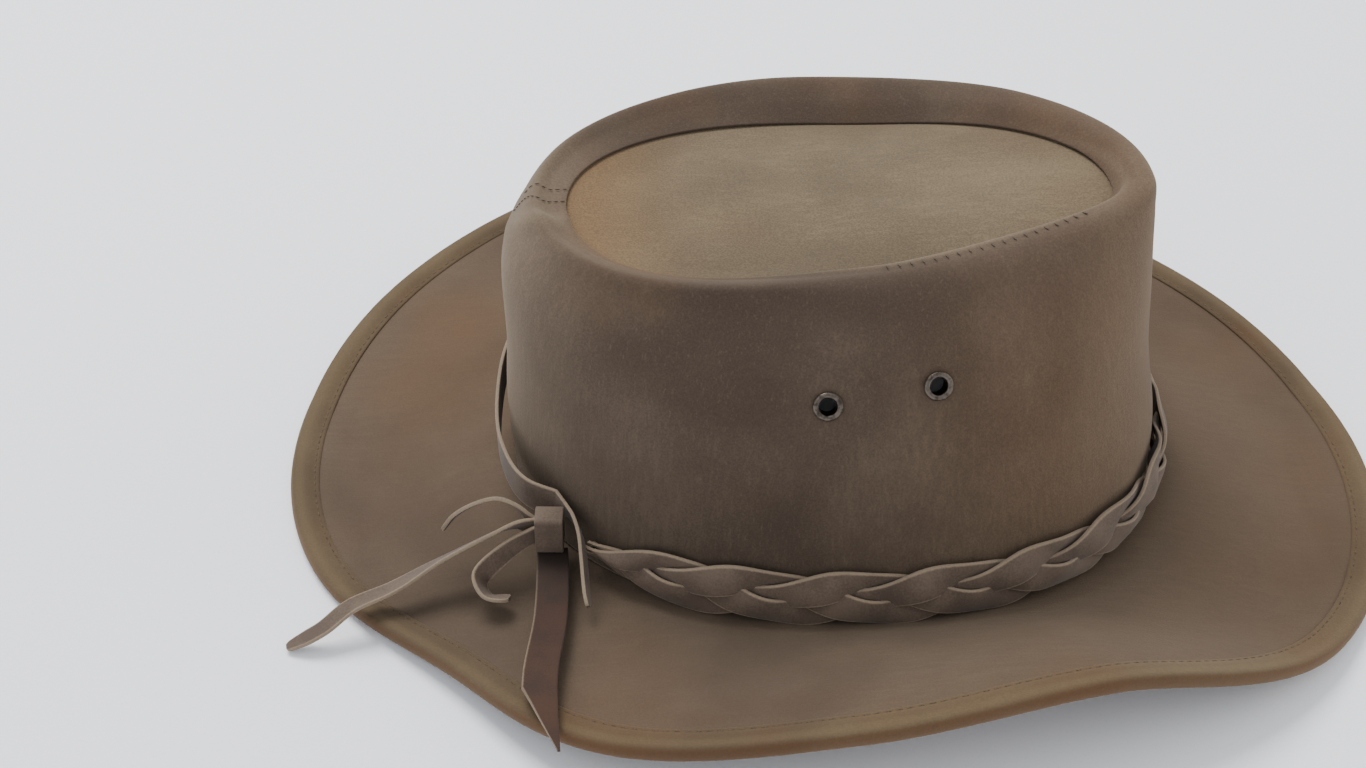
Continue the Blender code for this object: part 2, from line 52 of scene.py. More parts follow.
Rows = Sequence[Sequence[float]]


# ---------------------------------------------------------------- shader and node writing


def linear(red: float, green: float, blue: float) -> Colour:
    """Turn a display colour from 0 to 255 into the linear colour a shader takes.

    Args:
        red: Red from 0 to 255.
        green: Green from 0 to 255.
        blue: Blue from 0 to 255.

    Returns:
        The linear colour.
    """
    shares = (red / 255.0, green / 255.0, blue / 255.0)
    return tuple(s / 12.92 if s <= 0.04045 else ((s + 0.055) / 1.055) ** 2.4 for s in shares)


class Value:
    """A number socket that takes part in Python arithmetic by adding Math nodes."""

    def __init__(self, tree: bpy.types.NodeTree, socket: bpy.types.NodeSocket) -> None:
        """Hold the socket and the tree it lies in."""
        self.tree = tree
        self.socket = socket

    def join(self, operation: str, *parts: "Value | float") -> "Value":
        """Add one Math node over some values and numbers.

        Args:
            operation: The Math node's operation.
            parts: Its inputs in order.

        Returns:
            The node's result.
        """
        node = self.tree.nodes.new("ShaderNodeMath")
        node.operation = operation
        for index, part in enumerate(parts):
            if isinstance(part, Value):
                self.tree.links.new(part.socket, node.inputs[index])
            else:
                node.inputs[index].default_value = part
        return Value(self.tree, node.outputs[0])

    def __add__(self, other: "Value | float") -> "Value":
        """Add."""
        return self.join("ADD", self, other)

    __radd__ = __add__

    def __mul__(self, other: "Value | float") -> "Value":
        """Multiply."""
        return self.join("MULTIPLY", self, other)

    __rmul__ = __mul__

    def __sub__(self, other: "Value | float") -> "Value":
        """Subtract the other from this."""
        return self.join("SUBTRACT", self, other)

    def __rsub__(self, other: "Value | float") -> "Value":
        """Subtract this from the other."""
        return self.join("SUBTRACT", other, self)

    def size(self) -> "Value":
        """Absolute value."""
        return self.join("ABSOLUTE", self)


class Nodes:
    """Writes nodes into one tree, with settings, values and links in a single call."""

    def __init__(self, tree: bpy.types.NodeTree) -> None:
        """Hold the tree."""
        self.tree = tree

    def add(self, kind: str, settings: dict[str, Any] | None = None,
            sockets: dict[Any, Any] | None = None) -> bpy.types.Node:
        """Add one node.

        Args:
            kind: The node's type.
            settings: Its properties, set before its sockets.
            sockets: Values or links of its inputs by name or number.

        Returns:
            The node.
        """
        node = self.tree.nodes.new(kind)
        for key, setting in (settings or {}).items():
            setattr(node, key, setting)
        for key, part in (sockets or {}).items():
            if isinstance(part, Value):
                part = part.socket
            if isinstance(part, bpy.types.NodeSocket):
                self.tree.links.new(part, node.inputs[key])
            else:
                node.inputs[key].default_value = part
        return node

    def value(self, socket: bpy.types.NodeSocket) -> Value:
        """Wrap a number socket of this tree."""
        return Value(self.tree, socket)


class Paint(Nodes):
    """Writes one material round its Principled shader."""

    def __init__(self, name: str, fixed: dict[str, Any]) -> None:
        """Start a material.

        Args:
            name: The material's name.
            fixed: Values of the shader that are the same all over.
        """
        self.material = bpy.data.materials.new(name)
        self.material.use_nodes = True
        super().__init__(self.material.node_tree)
        self.shader = self.tree.nodes["Principled BSDF"]
        for key, setting in fixed.items():
            self.shader.inputs[key].default_value = setting
        self.place = self.add("ShaderNodeTexCoord").outputs["Object"]

    def feed(self, **parts: Any) -> None:
        """Link varying parts into the shader.

        Args:
            parts: Values or sockets by input name, with spaces written as underscores.
        """
        for key, part in parts.items():
            socket = part.socket if isinstance(part, Value) else part
            self.tree.links.new(socket, self.shader.inputs[key.replace("_", " ")])

    def grain(self, scale: float, detail: float = 2.0, rough: float = 0.5,
              stretch: Place = (1.0, 1.0, 1.0), place: Any = None) -> Value:
        """Noise from 0 to 1 in space.

        Args:
            scale: Cells to the metre.
            detail: Octaves.
            rough: How strong the finer octaves are.
            stretch: Factor on each axis, below 1 for streaks along it.
            place: Coordinates other than the object's own.

        Returns:
            The noise.
        """
        where = self.place if place is None else place
        if stretch != (1.0, 1.0, 1.0):
            mapping = self.add("ShaderNodeMapping", None, {"Vector": where, "Scale": stretch})
            where = mapping.outputs[0]
        node = self.add("ShaderNodeTexNoise", None, {
            "Vector": where, "Scale": scale, "Detail": detail, "Roughness": rough})
        return self.value(node.outputs[0])

    def attribute(self, name: str) -> Value:
        """A number kept on the piece's points."""
        return self.value(self.add("ShaderNodeAttribute", {"attribute_name": name}).outputs["Fac"])

    def band(self, value: Value, low: float, high: float) -> Value:
        """Smooth step of a value.

        Args:
            value: The value.
            low: Where the step is 0.
            high: Where the step is 1, below low for a falling step.

        Returns:
            The step from 0 to 1.
        """
        node = self.add("ShaderNodeMapRange", {"interpolation_type": "SMOOTHSTEP"}, {
            0: value, 1: low, 2: high, 3: 0.0, 4: 1.0})
        return self.value(node.outputs[0])

    def mix(self, first: Any, second: Any, share: Value) -> bpy.types.NodeSocket:
        """Mix two colours or colour sockets.

        Args:
            first: Colour where the share is 0.
            second: Colour where the share is 1.
            share: The share.

        Returns:
            The mixed colour's socket.
        """
        sockets = {0: share}
        for index, part in ((6, first), (7, second)):
            sockets[index] = (*part, 1.0) if isinstance(part, tuple) else part
        return self.add("ShaderNodeMix", {"data_type": "RGBA"}, sockets).outputs[2]

    def bump(self, height: Value, depth: float, strength: float = 1.0) -> bpy.types.NodeSocket:
        """Bump of a height.

        Args:
            height: Height from 0 to 1.
            depth: Depth in metres of a height of 1.
            strength: How much it tells.

        Returns:
            The normal's socket.
        """
        return self.add("ShaderNodeBump", None, {
            "Height": height, "Distance": depth, "Strength": strength}).outputs[0]


class Loom(Nodes):
    """A geometry tree with named inputs, run on a host object and turned into a plain mesh."""

    def __init__(self, name: str, sizes: Iterable[str]) -> None:
        """Start a tree that takes a geometry, a material and some sizes.

        Args:
            name: The tree's name.
            sizes: Names of its number inputs.
        """
        super().__init__(bpy.data.node_groups.new(name, "GeometryNodeTree"))
        face = self.tree.interface
        face.new_socket("Geometry", in_out="INPUT", socket_type="NodeSocketGeometry")
        face.new_socket("Material", in_out="INPUT", socket_type="NodeSocketMaterial")
        for size in sizes:
            face.new_socket(size, in_out="INPUT", socket_type="NodeSocketFloat")
        face.new_socket("Geometry", in_out="OUTPUT", socket_type="NodeSocketGeometry")
        self.entry = self.add("NodeGroupInput")

    def kept(self, name: str, kind: str = "FLOAT_VECTOR") -> bpy.types.NodeSocket:
        """Socket of an attribute kept on the path or its profile."""
        node = self.add("GeometryNodeInputNamedAttribute", {"data_type": kind}, {"Name": name})
        return node.outputs["Attribute"]

    def vector(self, operation: str, **parts: Any) -> bpy.types.NodeSocket:
        """Vector Math of up to two vectors and a scale.

        Args:
            operation: The node's operation.
            parts: Keys first, second and scale.

        Returns:
            The resulting vector's socket.
        """
        keys = {"first": 0, "second": 1, "scale": 3}
        sockets = {keys[key]: part for key, part in parts.items()}
        return self.add("ShaderNodeVectorMath", {"operation": operation}, sockets).outputs[0]

    def end(self, geometry: bpy.types.NodeSocket) -> None:
        """Realize the instances, set the material and close the tree.

        Args:
            geometry: The made geometry's socket.
        """
        real = self.add("GeometryNodeRealizeInstances", None, {"Geometry": geometry})
        smooth = self.add("GeometryNodeSetShadeSmooth", None, {"Geometry": real.outputs[0]})
        done = self.add("GeometryNodeSetMaterial", None, {
            "Geometry": smooth.outputs[0], "Material": self.entry.outputs["Material"]})
        self.add("NodeGroupOutput", None, {"Geometry": done.outputs[0]})

    def run(self, host: bpy.types.Object, name: str, material: bpy.types.Material,
            sizes: dict[str, Any]) -> bpy.types.Object:
        """Run the tree on a host and keep the result as a plain object.

        Args:
            host: The path's object, removed afterwards.
            name: Name of the new piece.
            material: Its material.
            sizes: The tree's other inputs by name.

        Returns:
            The piece.
        """
        modifier = host.modifiers.new("loom", "NODES")
        modifier.node_group = self.tree
        given = {"Material": material, **sizes}
        for item in self.tree.interface.items_tree:
            if item.in_out == "INPUT" and item.name in given:
                modifier[item.identifier] = given[item.name]
        made = bake(host, name)
        made.data.materials.clear()
        made.data.materials.append(material)
        made.data.polygons.foreach_set("material_index", [0] * len(made.data.polygons))
        return made


# ---------------------------------------------------------------- mesh helpers


def link(name: str, mesh: bpy.types.Mesh) -> bpy.types.Object:
    """Put a mesh in the scene as an object at the origin.

    Args:
        name: The object's name.
        mesh: The mesh.

    Returns:
        The object.
    """
    item = bpy.data.objects.new(name, mesh)
    bpy.context.scene.collection.objects.link(item)
    return item


def bake(host: bpy.types.Object, name: str) -> bpy.types.Object:
    """Turn a host with its modifiers into a plain object, and remove the host.

    Args:
        host: Object with modifiers.
        name: Name of the result.

    Returns:
        The plain object.
    """
    seen = host.evaluated_get(bpy.context.evaluated_depsgraph_get())
    mesh = bpy.data.meshes.new_from_object(seen)
    host.name = name + "_host"
    bpy.data.objects.remove(host, do_unlink=True)
    mesh.name = name
    return link(name, mesh)


def keep(mesh: bpy.types.Mesh, name: str, values: Any) -> None:
    """Keep a number or a vector on each point of a mesh.

    Args:
        mesh: The mesh.
        name: The attribute's name.
        values: One number or one vector for each point.
    """
    values = np.asarray(values, np.float32)
    if values.ndim == 1:
        mesh.attributes.new(name, "FLOAT", "POINT").data.foreach_set("value", values)
    else:
        vectors = mesh.attributes.new(name, "FLOAT_VECTOR", "POINT")
        vectors.data.foreach_set("vector", values.ravel())


def surface_grid(rows: int, columns: int, point: Callable[[float, float], Vector]) -> np.ndarray:
    """Points of a surface at even shares and angles.

    Args:
        rows: Number of rows, from share 0 to share 1.
        columns: Number of columns round.
        point: Gives the surface's point at a share and a plan angle.

    Returns:
        Rows by columns by 3.
    """
    points = np.empty((rows, columns, 3))
    for row in range(rows):
        for column in range(columns):
            points[row, column] = point(row / (rows - 1), 360.0 * column / columns)
    return points


def sheet_mesh(name: str, points: np.ndarray, centre: bool = False) -> bpy.types.Object:
    """Mesh of a grid whose columns close round.

    Args:
        name: The object's name.
        points: Rows by columns by 3, in millimetres.
        centre: Whether the first row is one point and closes the middle.

    Returns:
        The object.
    """
    rows, columns = points.shape[:2]
    flat = points.reshape(-1, 3)
    first = 1 if centre else 0
    faces = []
    for row in range(first, rows - 1):
        for column in range(columns):
            after = (column + 1) % columns
            faces.append((row * columns + column, row * columns + after,
                          (row + 1) * columns + after, (row + 1) * columns + column))
    if centre:
        flat = np.concatenate((flat[:1], flat[columns:]))
        faces = [tuple(corner - columns + 1 for corner in face) for face in faces]
        faces += [(0, 1 + (column + 1) % columns, 1 + column) for column in range(columns)]
    mesh = bpy.data.meshes.new(name)
    mesh.from_pydata((flat * MM).tolist(), [], faces)
    mesh.update()
    mesh.shade_smooth()
    return link(name, mesh)


def ring_mesh(name: str, points: np.ndarray) -> bpy.types.Object:
    """Closed tube of profiles carried round a closed path.

    Args:
        name: The object's name.
        points: Columns by profile corners by 3, in millimetres.

    Returns:
        The object.
    """
    columns, corners = points.shape[:2]
    faces = []
    for column in range(columns):
        after = (column + 1) % columns
        for corner in range(corners):
            following = (corner + 1) % corners
            faces.append((column * corners + corner, column * corners + following,
                          after * corners + following, after * corners + corner))
    mesh = bpy.data.meshes.new(name)
    mesh.from_pydata((points.reshape(-1, 3) * MM).tolist(), [], faces)
    outward(mesh)
    mesh.shade_smooth()
    return link(name, mesh)


def line_mesh(name: str, points: np.ndarray, closed: bool, **kept: np.ndarray) -> bpy.types.Object:
    """Path of edges with vectors kept on its points.

    Args:
        name: The object's name.
        points: Points in millimetres.
        closed: Whether the last point joins the first.
        kept: Vectors to keep by name.

    Returns:
        The path's object.
    """
    count = len(points)
    edges = [(index, index + 1) for index in range(count - 1)]
    if closed:
        edges.append((count - 1, 0))
    mesh = bpy.data.meshes.new(name)
    mesh.from_pydata((np.asarray(points) * MM).tolist(), edges, [])
    for key, vectors in kept.items():
        keep(mesh, key, vectors)
    return link(name, mesh)


def outward(mesh: bpy.types.Mesh) -> None:
    """Turn the faces of a closed mesh outward.

    Args:
        mesh: The mesh.
    """
    shape = bmesh.new()
    shape.from_mesh(mesh)
    bmesh.ops.recalc_face_normals(shape, faces=shape.faces)
    shape.to_mesh(mesh)
    shape.free()
    mesh.update()


def ripple(mesh: bpy.types.Mesh, waves: Iterable[tuple[float, float]],
           fade: np.ndarray | None = None) -> None:
    """Move points along their normals by soft noise, as hand-worked leather lies.

    Args:
        mesh: The mesh.
        waves: Pairs of wave length and height in millimetres.
        fade: Share of the move at each point.
    """
    count = len(mesh.vertices)
    places = np.empty(count * 3, np.float32)
    normals = np.empty(count * 3, np.float32)
    mesh.vertices.foreach_get("co", places)
    mesh.vertices.foreach_get("normal", normals)
    places, normals = places.reshape(-1, 3), normals.reshape(-1, 3)
    move = np.zeros(count)
    for index, (length, height) in enumerate(waves):
        scale = 1.0 / (length * MM)
        shift = Vector((7.3 * index, 3.1, 1.7 * index))
        move += [height * MM * noise.noise(Vector(p) * scale + shift) for p in places.tolist()]
    if fade is not None:
        move *= fade
    mesh.vertices.foreach_set("co", (places + normals * move[:, None]).ravel())
    mesh.update()


def thicken(item: bpy.types.Object, thickness: float, offset: float) -> None:
    """Give an open surface its leather thickness.

    Args:
        item: The surface.
        thickness: The thickness in millimetres.
        offset: Side that it goes to: -1 below the surface, 0 both ways.
    """
    solid = item.modifiers.new("leather", "SOLIDIFY")
    solid.thickness = thickness * MM
    solid.offset = offset
    solid.use_even_offset = True


# ---------------------------------------------------------------- finishes


@dataclass(frozen=True)
class Nubuck:
    """Brushed leather: soft wide changes of colour, a fine nap, pale places of wear and painted
    highlight, and painted shade.
    """

    name: str
    dark: Colour
    middle: Colour
    light: Colour
    rust: Colour
    nap: Place = (1.0, 1.0, 1.0)
    rust_share: float = 0.25
    streaks: float = 0.35
    speckle: float = 0.35
    hairs: float = 0.08
    grain_depth: float = 0.16
    sheen: float = 0.22
    wide_scale: float = 11.0
    rust_scale: float = 14.0
    cloud_scale: float = 46.0
    streak_scale: float = 560.0
    hair_scale: float = 1300.0
    speck_scale: float = 1700.0
    rust_shift: Place = (0.31, 0.17, 0.05)
    dimming: float = 0.35
    fleck: float = 0.4

    def make(self) -> bpy.types.Material:
        """Write the material.

        Returns:
            The material.
        """
        paint = Paint(self.name, {
            "Specular IOR Level": 0.14, "Sheen Weight": self.sheen, "Sheen Roughness": 0.5,
            "Sheen Tint": (*linear(214, 196, 172), 1.0)})
        wide = paint.grain(self.wide_scale, 2.0, 0.45)
        clouds = paint.grain(self.cloud_scale, 3.0, 0.5)
        streak = paint.grain(self.streak_scale, 3.0, 0.6, self.nap)
        speck = paint.grain(self.speck_scale, 3.0, 0.65)
        mottle = wide * 0.7 + clouds * 0.3
        colour = paint.mix(linear(*self.dark), linear(*self.middle), paint.band(mottle, 0.34, 0.56))
        light = paint.band(mottle * 0.6 + streak * 0.4, 0.46, 0.68) * self.streaks
        colour = paint.mix(colour, linear(*self.light), light)
        patches = paint.grain(self.rust_scale, 3.0, 0.5, place=self.shifted(paint))
        rusty = paint.band(patches, 0.5, 0.74) * self.rust_share
        colour = paint.mix(colour, linear(*self.rust), rusty)
        uneven = 0.7 + 0.3 * streak
        colour = paint.mix(colour, linear(*self.rust), paint.attribute("warm") * uneven)
        # Pale places: partly wear, partly painted highlight.
        colour = paint.mix(colour, linear(*self.light), paint.attribute("worn") * uneven)
        hair = paint.band(paint.grain(self.hair_scale, 2.0, 0.6, self.nap), 0.56, 0.72)
        colour = paint.mix(colour, linear(*self.light), hair * self.hairs)
        dim = tuple(self.dimming * part for part in linear(*self.dark))
        flecks = paint.band(speck, 0.6, 0.4) * (self.speckle * self.fleck)
        colour = paint.mix(colour, dim, flecks)
        # Painted shade darkens the colour where the piece keeps it.
        colour = paint.mix(colour, dim, paint.attribute("grime"))
        height = speck * 0.5 + streak * 0.35 + clouds * 0.3
        paint.feed(Base_Color=colour, Roughness=0.84 + 0.14 * streak,
                   Normal=paint.bump(height, self.grain_depth * MM))
        return paint.material

    def shifted(self, paint: Paint) -> bpy.types.NodeSocket:
        """Coordinates moved aside, so that rust patches don't follow the mottle."""
        sockets = {"Vector": paint.place, "Location": self.rust_shift}
        return paint.add("ShaderNodeMapping", None, sockets).outputs[0]


@dataclass(frozen=True)
class StripLeather:
    """Strip leather with a soft face and pale cut edges."""

    name: str
    face: Colour
    shade: Colour
    edge: Colour
    half_width: float
    edge_side: float = 0.0
    sheen: float = 0.1
    cloud_scale: float = 70.0
    fine_scale: float = 1500.0
    edge_starts: float = 0.75
    edge_ends: float = 0.25
    edge_ragged: float = 0.3
    dimming: float = 0.3
    specks: float = 0.12

    def make(self) -> bpy.types.Material:
        """Write the material.

        Returns:
            The material.
        """
        paint = Paint(self.name, {
            "Specular IOR Level": 0.3, "Sheen Weight": self.sheen, "Sheen Roughness": 0.5})
        profile = paint.add("ShaderNodeAttribute", {"attribute_name": "profile"}).outputs["Vector"]
        parts = paint.add("ShaderNodeSeparateXYZ", None, {"Vector": profile})
        signed = paint.value(parts.outputs[0])
        across = signed * self.edge_side if self.edge_side else signed.size()
        clouds = paint.grain(self.cloud_scale, 3.0, 0.5)
        fine = paint.grain(self.fine_scale, 3.0, 0.65)
        mottle = paint.band(clouds * 0.7 + fine * 0.3, 0.38, 0.6)
        colour = paint.mix(linear(*self.shade), linear(*self.face), mottle)
        markings = paint.band(across + (fine - 0.5) * (self.edge_ragged * MM),
                          (self.half_width - self.edge_starts) * MM,
                          (self.half_width - self.edge_ends) * MM)
        colour = paint.mix(colour, linear(*self.edge), markings * (0.6 + 0.4 * clouds))
        dim = tuple(self.dimming * part for part in linear(*self.shade))
        colour = paint.mix(colour, dim, paint.band(fine, 0.6, 0.4) * self.specks)
        # Painted shadow of the keeper darkens the wide tail near its root.
        colour = paint.mix(colour, dim, paint.attribute("root"))
        paint.feed(Base_Color=colour, Roughness=0.72 + 0.2 * fine,
                   Normal=paint.bump(fine * 0.6 + clouds * 0.4, 0.12 * MM))
        return paint.material


@dataclass(frozen=True)
class Pewter:
    """Dull rolled metal with fine scratches and dark tarnish spots."""

    name: str
    metal: Colour
    tarnish: Colour
    spot_scale: float = 700.0
    scratch_scale: float = 2600.0
    scratch_stretch: Place = (1.0, 0.15, 0.3)

    def make(self) -> bpy.types.Material:
        """Write the material.

        Returns:
            The material.
        """
        paint = Paint(self.name, {"Metallic": 1.0})
        spots = paint.grain(self.spot_scale, 4.0, 0.6)
        lines = paint.grain(self.scratch_scale, 2.0, 0.5, self.scratch_stretch)
        bright = paint.band(spots, 0.35, 0.62)
        colour = paint.mix(linear(*self.tarnish), linear(*self.metal), bright)
        paint.feed(Base_Color=colour, Roughness=0.24 + 0.2 * spots + 0.08 * lines,
                   Normal=paint.bump(spots * 0.4 + lines * 0.6, 0.05 * MM))
        return paint.material


@dataclass(frozen=True)
class Thread:
    """Waxed thread, mottled along its twist."""

    name: str
    colour: Colour
    shade: Colour
    twist_scale: float = 1800.0
    twist_stretch: Place = (1.0, 0.6, 0.8)
    twist_depth: float = 0.1

    def make(self) -> bpy.types.Material:
        """Write the material.

        Returns:
            The material.
        """
        paint = Paint(self.name, {"Specular IOR Level": 0.3})
        twist = paint.grain(self.twist_scale, 2.0, 0.5, self.twist_stretch)
        bright = paint.band(twist, 0.35, 0.6)
        colour = paint.mix(linear(*self.shade), linear(*self.colour), bright)
        paint.feed(Base_Color=colour, Roughness=0.65 + 0.2 * twist,
                   Normal=paint.bump(twist, self.twist_depth * MM))
        return paint.material


@dataclass(frozen=True)
class FloorPaint:
    """Pale studio floor with faint dust."""

    name: str = "pale_floor"
    colour: Colour = (250.0, 251.0, 255.0)
    dust_scale: float = 900.0
    dust_shade: float = 0.97

    def make(self) -> bpy.types.Material:
        """Write the material.

        Returns:
            The material.
        """
        paint = Paint(self.name, {"Specular IOR Level": 0.2})
        dust = paint.grain(self.dust_scale, 2.0, 0.5)
        shade = tuple(self.dust_shade * part for part in linear(*self.colour))
        colour = paint.mix(shade, linear(*self.colour), paint.band(dust, 0.3, 0.45))
        paint.feed(Base_Color=colour, Roughness=0.75 + 0.1 * dust)
        return paint.material


class Finish(Enum):
    """The finishes of this hat."""

    CROWN = Nubuck("crown_nubuck", (72, 60, 51), (85, 72, 61), (115, 101, 84), (106, 76, 48),
                   nap=(1.0, 1.0, 0.12), speckle=0.6, hairs=0.17)
    TIP = Nubuck("tip_nubuck", (93, 81, 65), (103, 90, 72), (118, 105, 83), (116, 84, 50),
                 nap=(0.2, 1.0, 1.0), rust_share=0.12, streaks=0.8, speckle=0.9)
    BRIM = Nubuck("brim_nubuck", (76, 64, 53), (86, 73, 61), (102, 88, 73), (98, 69, 44),
                  nap=(0.14, 1.0, 1.0), rust_share=0.22)
    HEM = Nubuck("hem_nubuck", (76, 63, 48), (88, 74, 56), (104, 89, 67), (90, 61, 39),
                 rust_share=0.35)
    METAL = Pewter("eyelet_pewter", (104, 95, 87), (66, 59, 53))
    HEM_THREAD = Thread("hem_thread", (88, 73, 55), (60, 48, 36))
    SEAM_THREAD = Thread("seam_thread", (58, 49, 41), (40, 34, 28))
    CREST_THREAD = Thread("crest_thread", (80, 67, 56), (62, 52, 44))
    FLOOR = FloorPaint()

    def material(self) -> bpy.types.Material:
        """This finish's material, made the first time it is asked for."""
        made = bpy.data.materials.get(self.value.name)
        return made or self.value.make()


# ---------------------------------------------------------------- the hat's shape


class Section(NamedTuple):
    """Reaches and rises of one level of the crown, as shares of its foot and height."""

    front: float
    back: float
    near: float
    far: float
    pinch: float
    rise_front: float
    rise_back: float
    rise_near: float
    rise_far: float


class Dent(NamedTuple):
    """A shallow dent of the wall: where it is deepest, its share depth and its reaches."""

    angle: float
    section: float
    depth: float
    angle_reach: float
    section_reach: float


CROWN = (
    Section(1.000, 1.000, 1.000, 1.000, 0.00, 0.000, 0.000, 0.000, 0.000),
    Section(0.993, 1.017, 0.959, 0.983, 0.00, 0.234, 0.234, 0.234, 0.234),
    Section(0.948, 1.011, 0.889, 0.942, 0.03, 0.484, 0.470, 0.488, 0.488),
    Section(0.915, 1.011, 0.772, 0.896, 0.10, 0.778, 0.733, 0.761, 0.751),
    Section(0.900, 0.960, 0.673, 0.847, 0.22, 0.936, 0.864, 0.921, 0.897),
    Section(0.888, 0.910, 0.599, 0.792, 0.30, 1.010, 0.936, 0.977, 0.961),
    Section(0.829, 0.869, 0.517, 0.699, 0.30, 1.020, 0.914, 0.956, 0.928),
    Section(0.775, 0.816, 0.475, 0.619, 0.32, 0.965, 0.900, 0.893, 0.872),
)
DENTS = (
    Dent(238.0, 3.9, 0.035, 22.0, 0.8),
    Dent(285.0, 1.6, 0.016, 26.0, 0.9),
    Dent(95.0, 2.4, 0.019, 30.0, 0.9),
)
BRIM_EDGE = (
    (1.004, 0.01), (0.972, 0.26), (0.850, 0.74), (0.811, 0.94), (0.906, 0.84), (0.994, 0.34),
    (0.992, 0.01), (0.932, 0.145), (0.859, 0.45), (0.794, 0.90), (0.805, 1.00), (0.954, 0.225),
)


def catmull(p0: Sequence[float], p1: Sequence[float], p2: Sequence[float], p3: Sequence[float],
            t: float) -> tuple[float, ...]:
    """Blend four rows of values between the middle two.

    Args:
        p0: Row before.
        p1: First middle row.
        p2: Second middle row.
        p3: Row after.
        t: Share of the way from the first middle row to the second.

    Returns:
        The blended values.
    """
    return tuple(
        b + 0.5 * t * ((c - a) + t * ((2 * a - 5 * b + 4 * c - d) + t * (3 * (b - c) + d - a)))
        for a, b, c, d in zip(p0, p1, p2, p3)
    )


def spline(rows: Rows, place: float) -> tuple[float, ...]:
    """Values of a smooth open curve through rows.

    Args:
        rows: Rows of values.
        place: Fractional place in the rows.

    Returns:
        The values there.
    """
    last = len(rows) - 1
    start = min(max(int(math.floor(place)), 0), last - 1)
    p1, p2 = rows[start], rows[start + 1]
    p0 = rows[start - 1] if start > 0 else tuple(2 * a - b for a, b in zip(p1, p2))
    p3 = rows[start + 2] if start + 2 <= last else tuple(2 * b - a for a, b in zip(p1, p2))
    return catmull(p0, p1, p2, p3, place - start)


def ring_spline(rows: Rows, degrees: float) -> tuple[float, ...]:
    """Values on a smooth closed curve through evenly spaced rows.

    Args:
        rows: Rows of values.
        degrees: Angle of the place.

    Returns:
        The values there.
    """
    count = len(rows)
    place = (degrees % 360.0) / 360.0 * count
    start = int(place)
    picked = [rows[(start + step) % count] for step in (-1, 0, 1, 2)]
    return catmull(*picked, place - start)


def hump(value: float, middle: float, reach: float) -> float:
    """Bell of height 1 round a middle value."""
    return math.exp(-((value - middle) / reach) ** 2)


def turned(degrees: float, middle: float) -> float:
    """Signed angle from a middle angle, within half a turn."""
    return (degrees - middle + 180.0) % 360.0 - 180.0


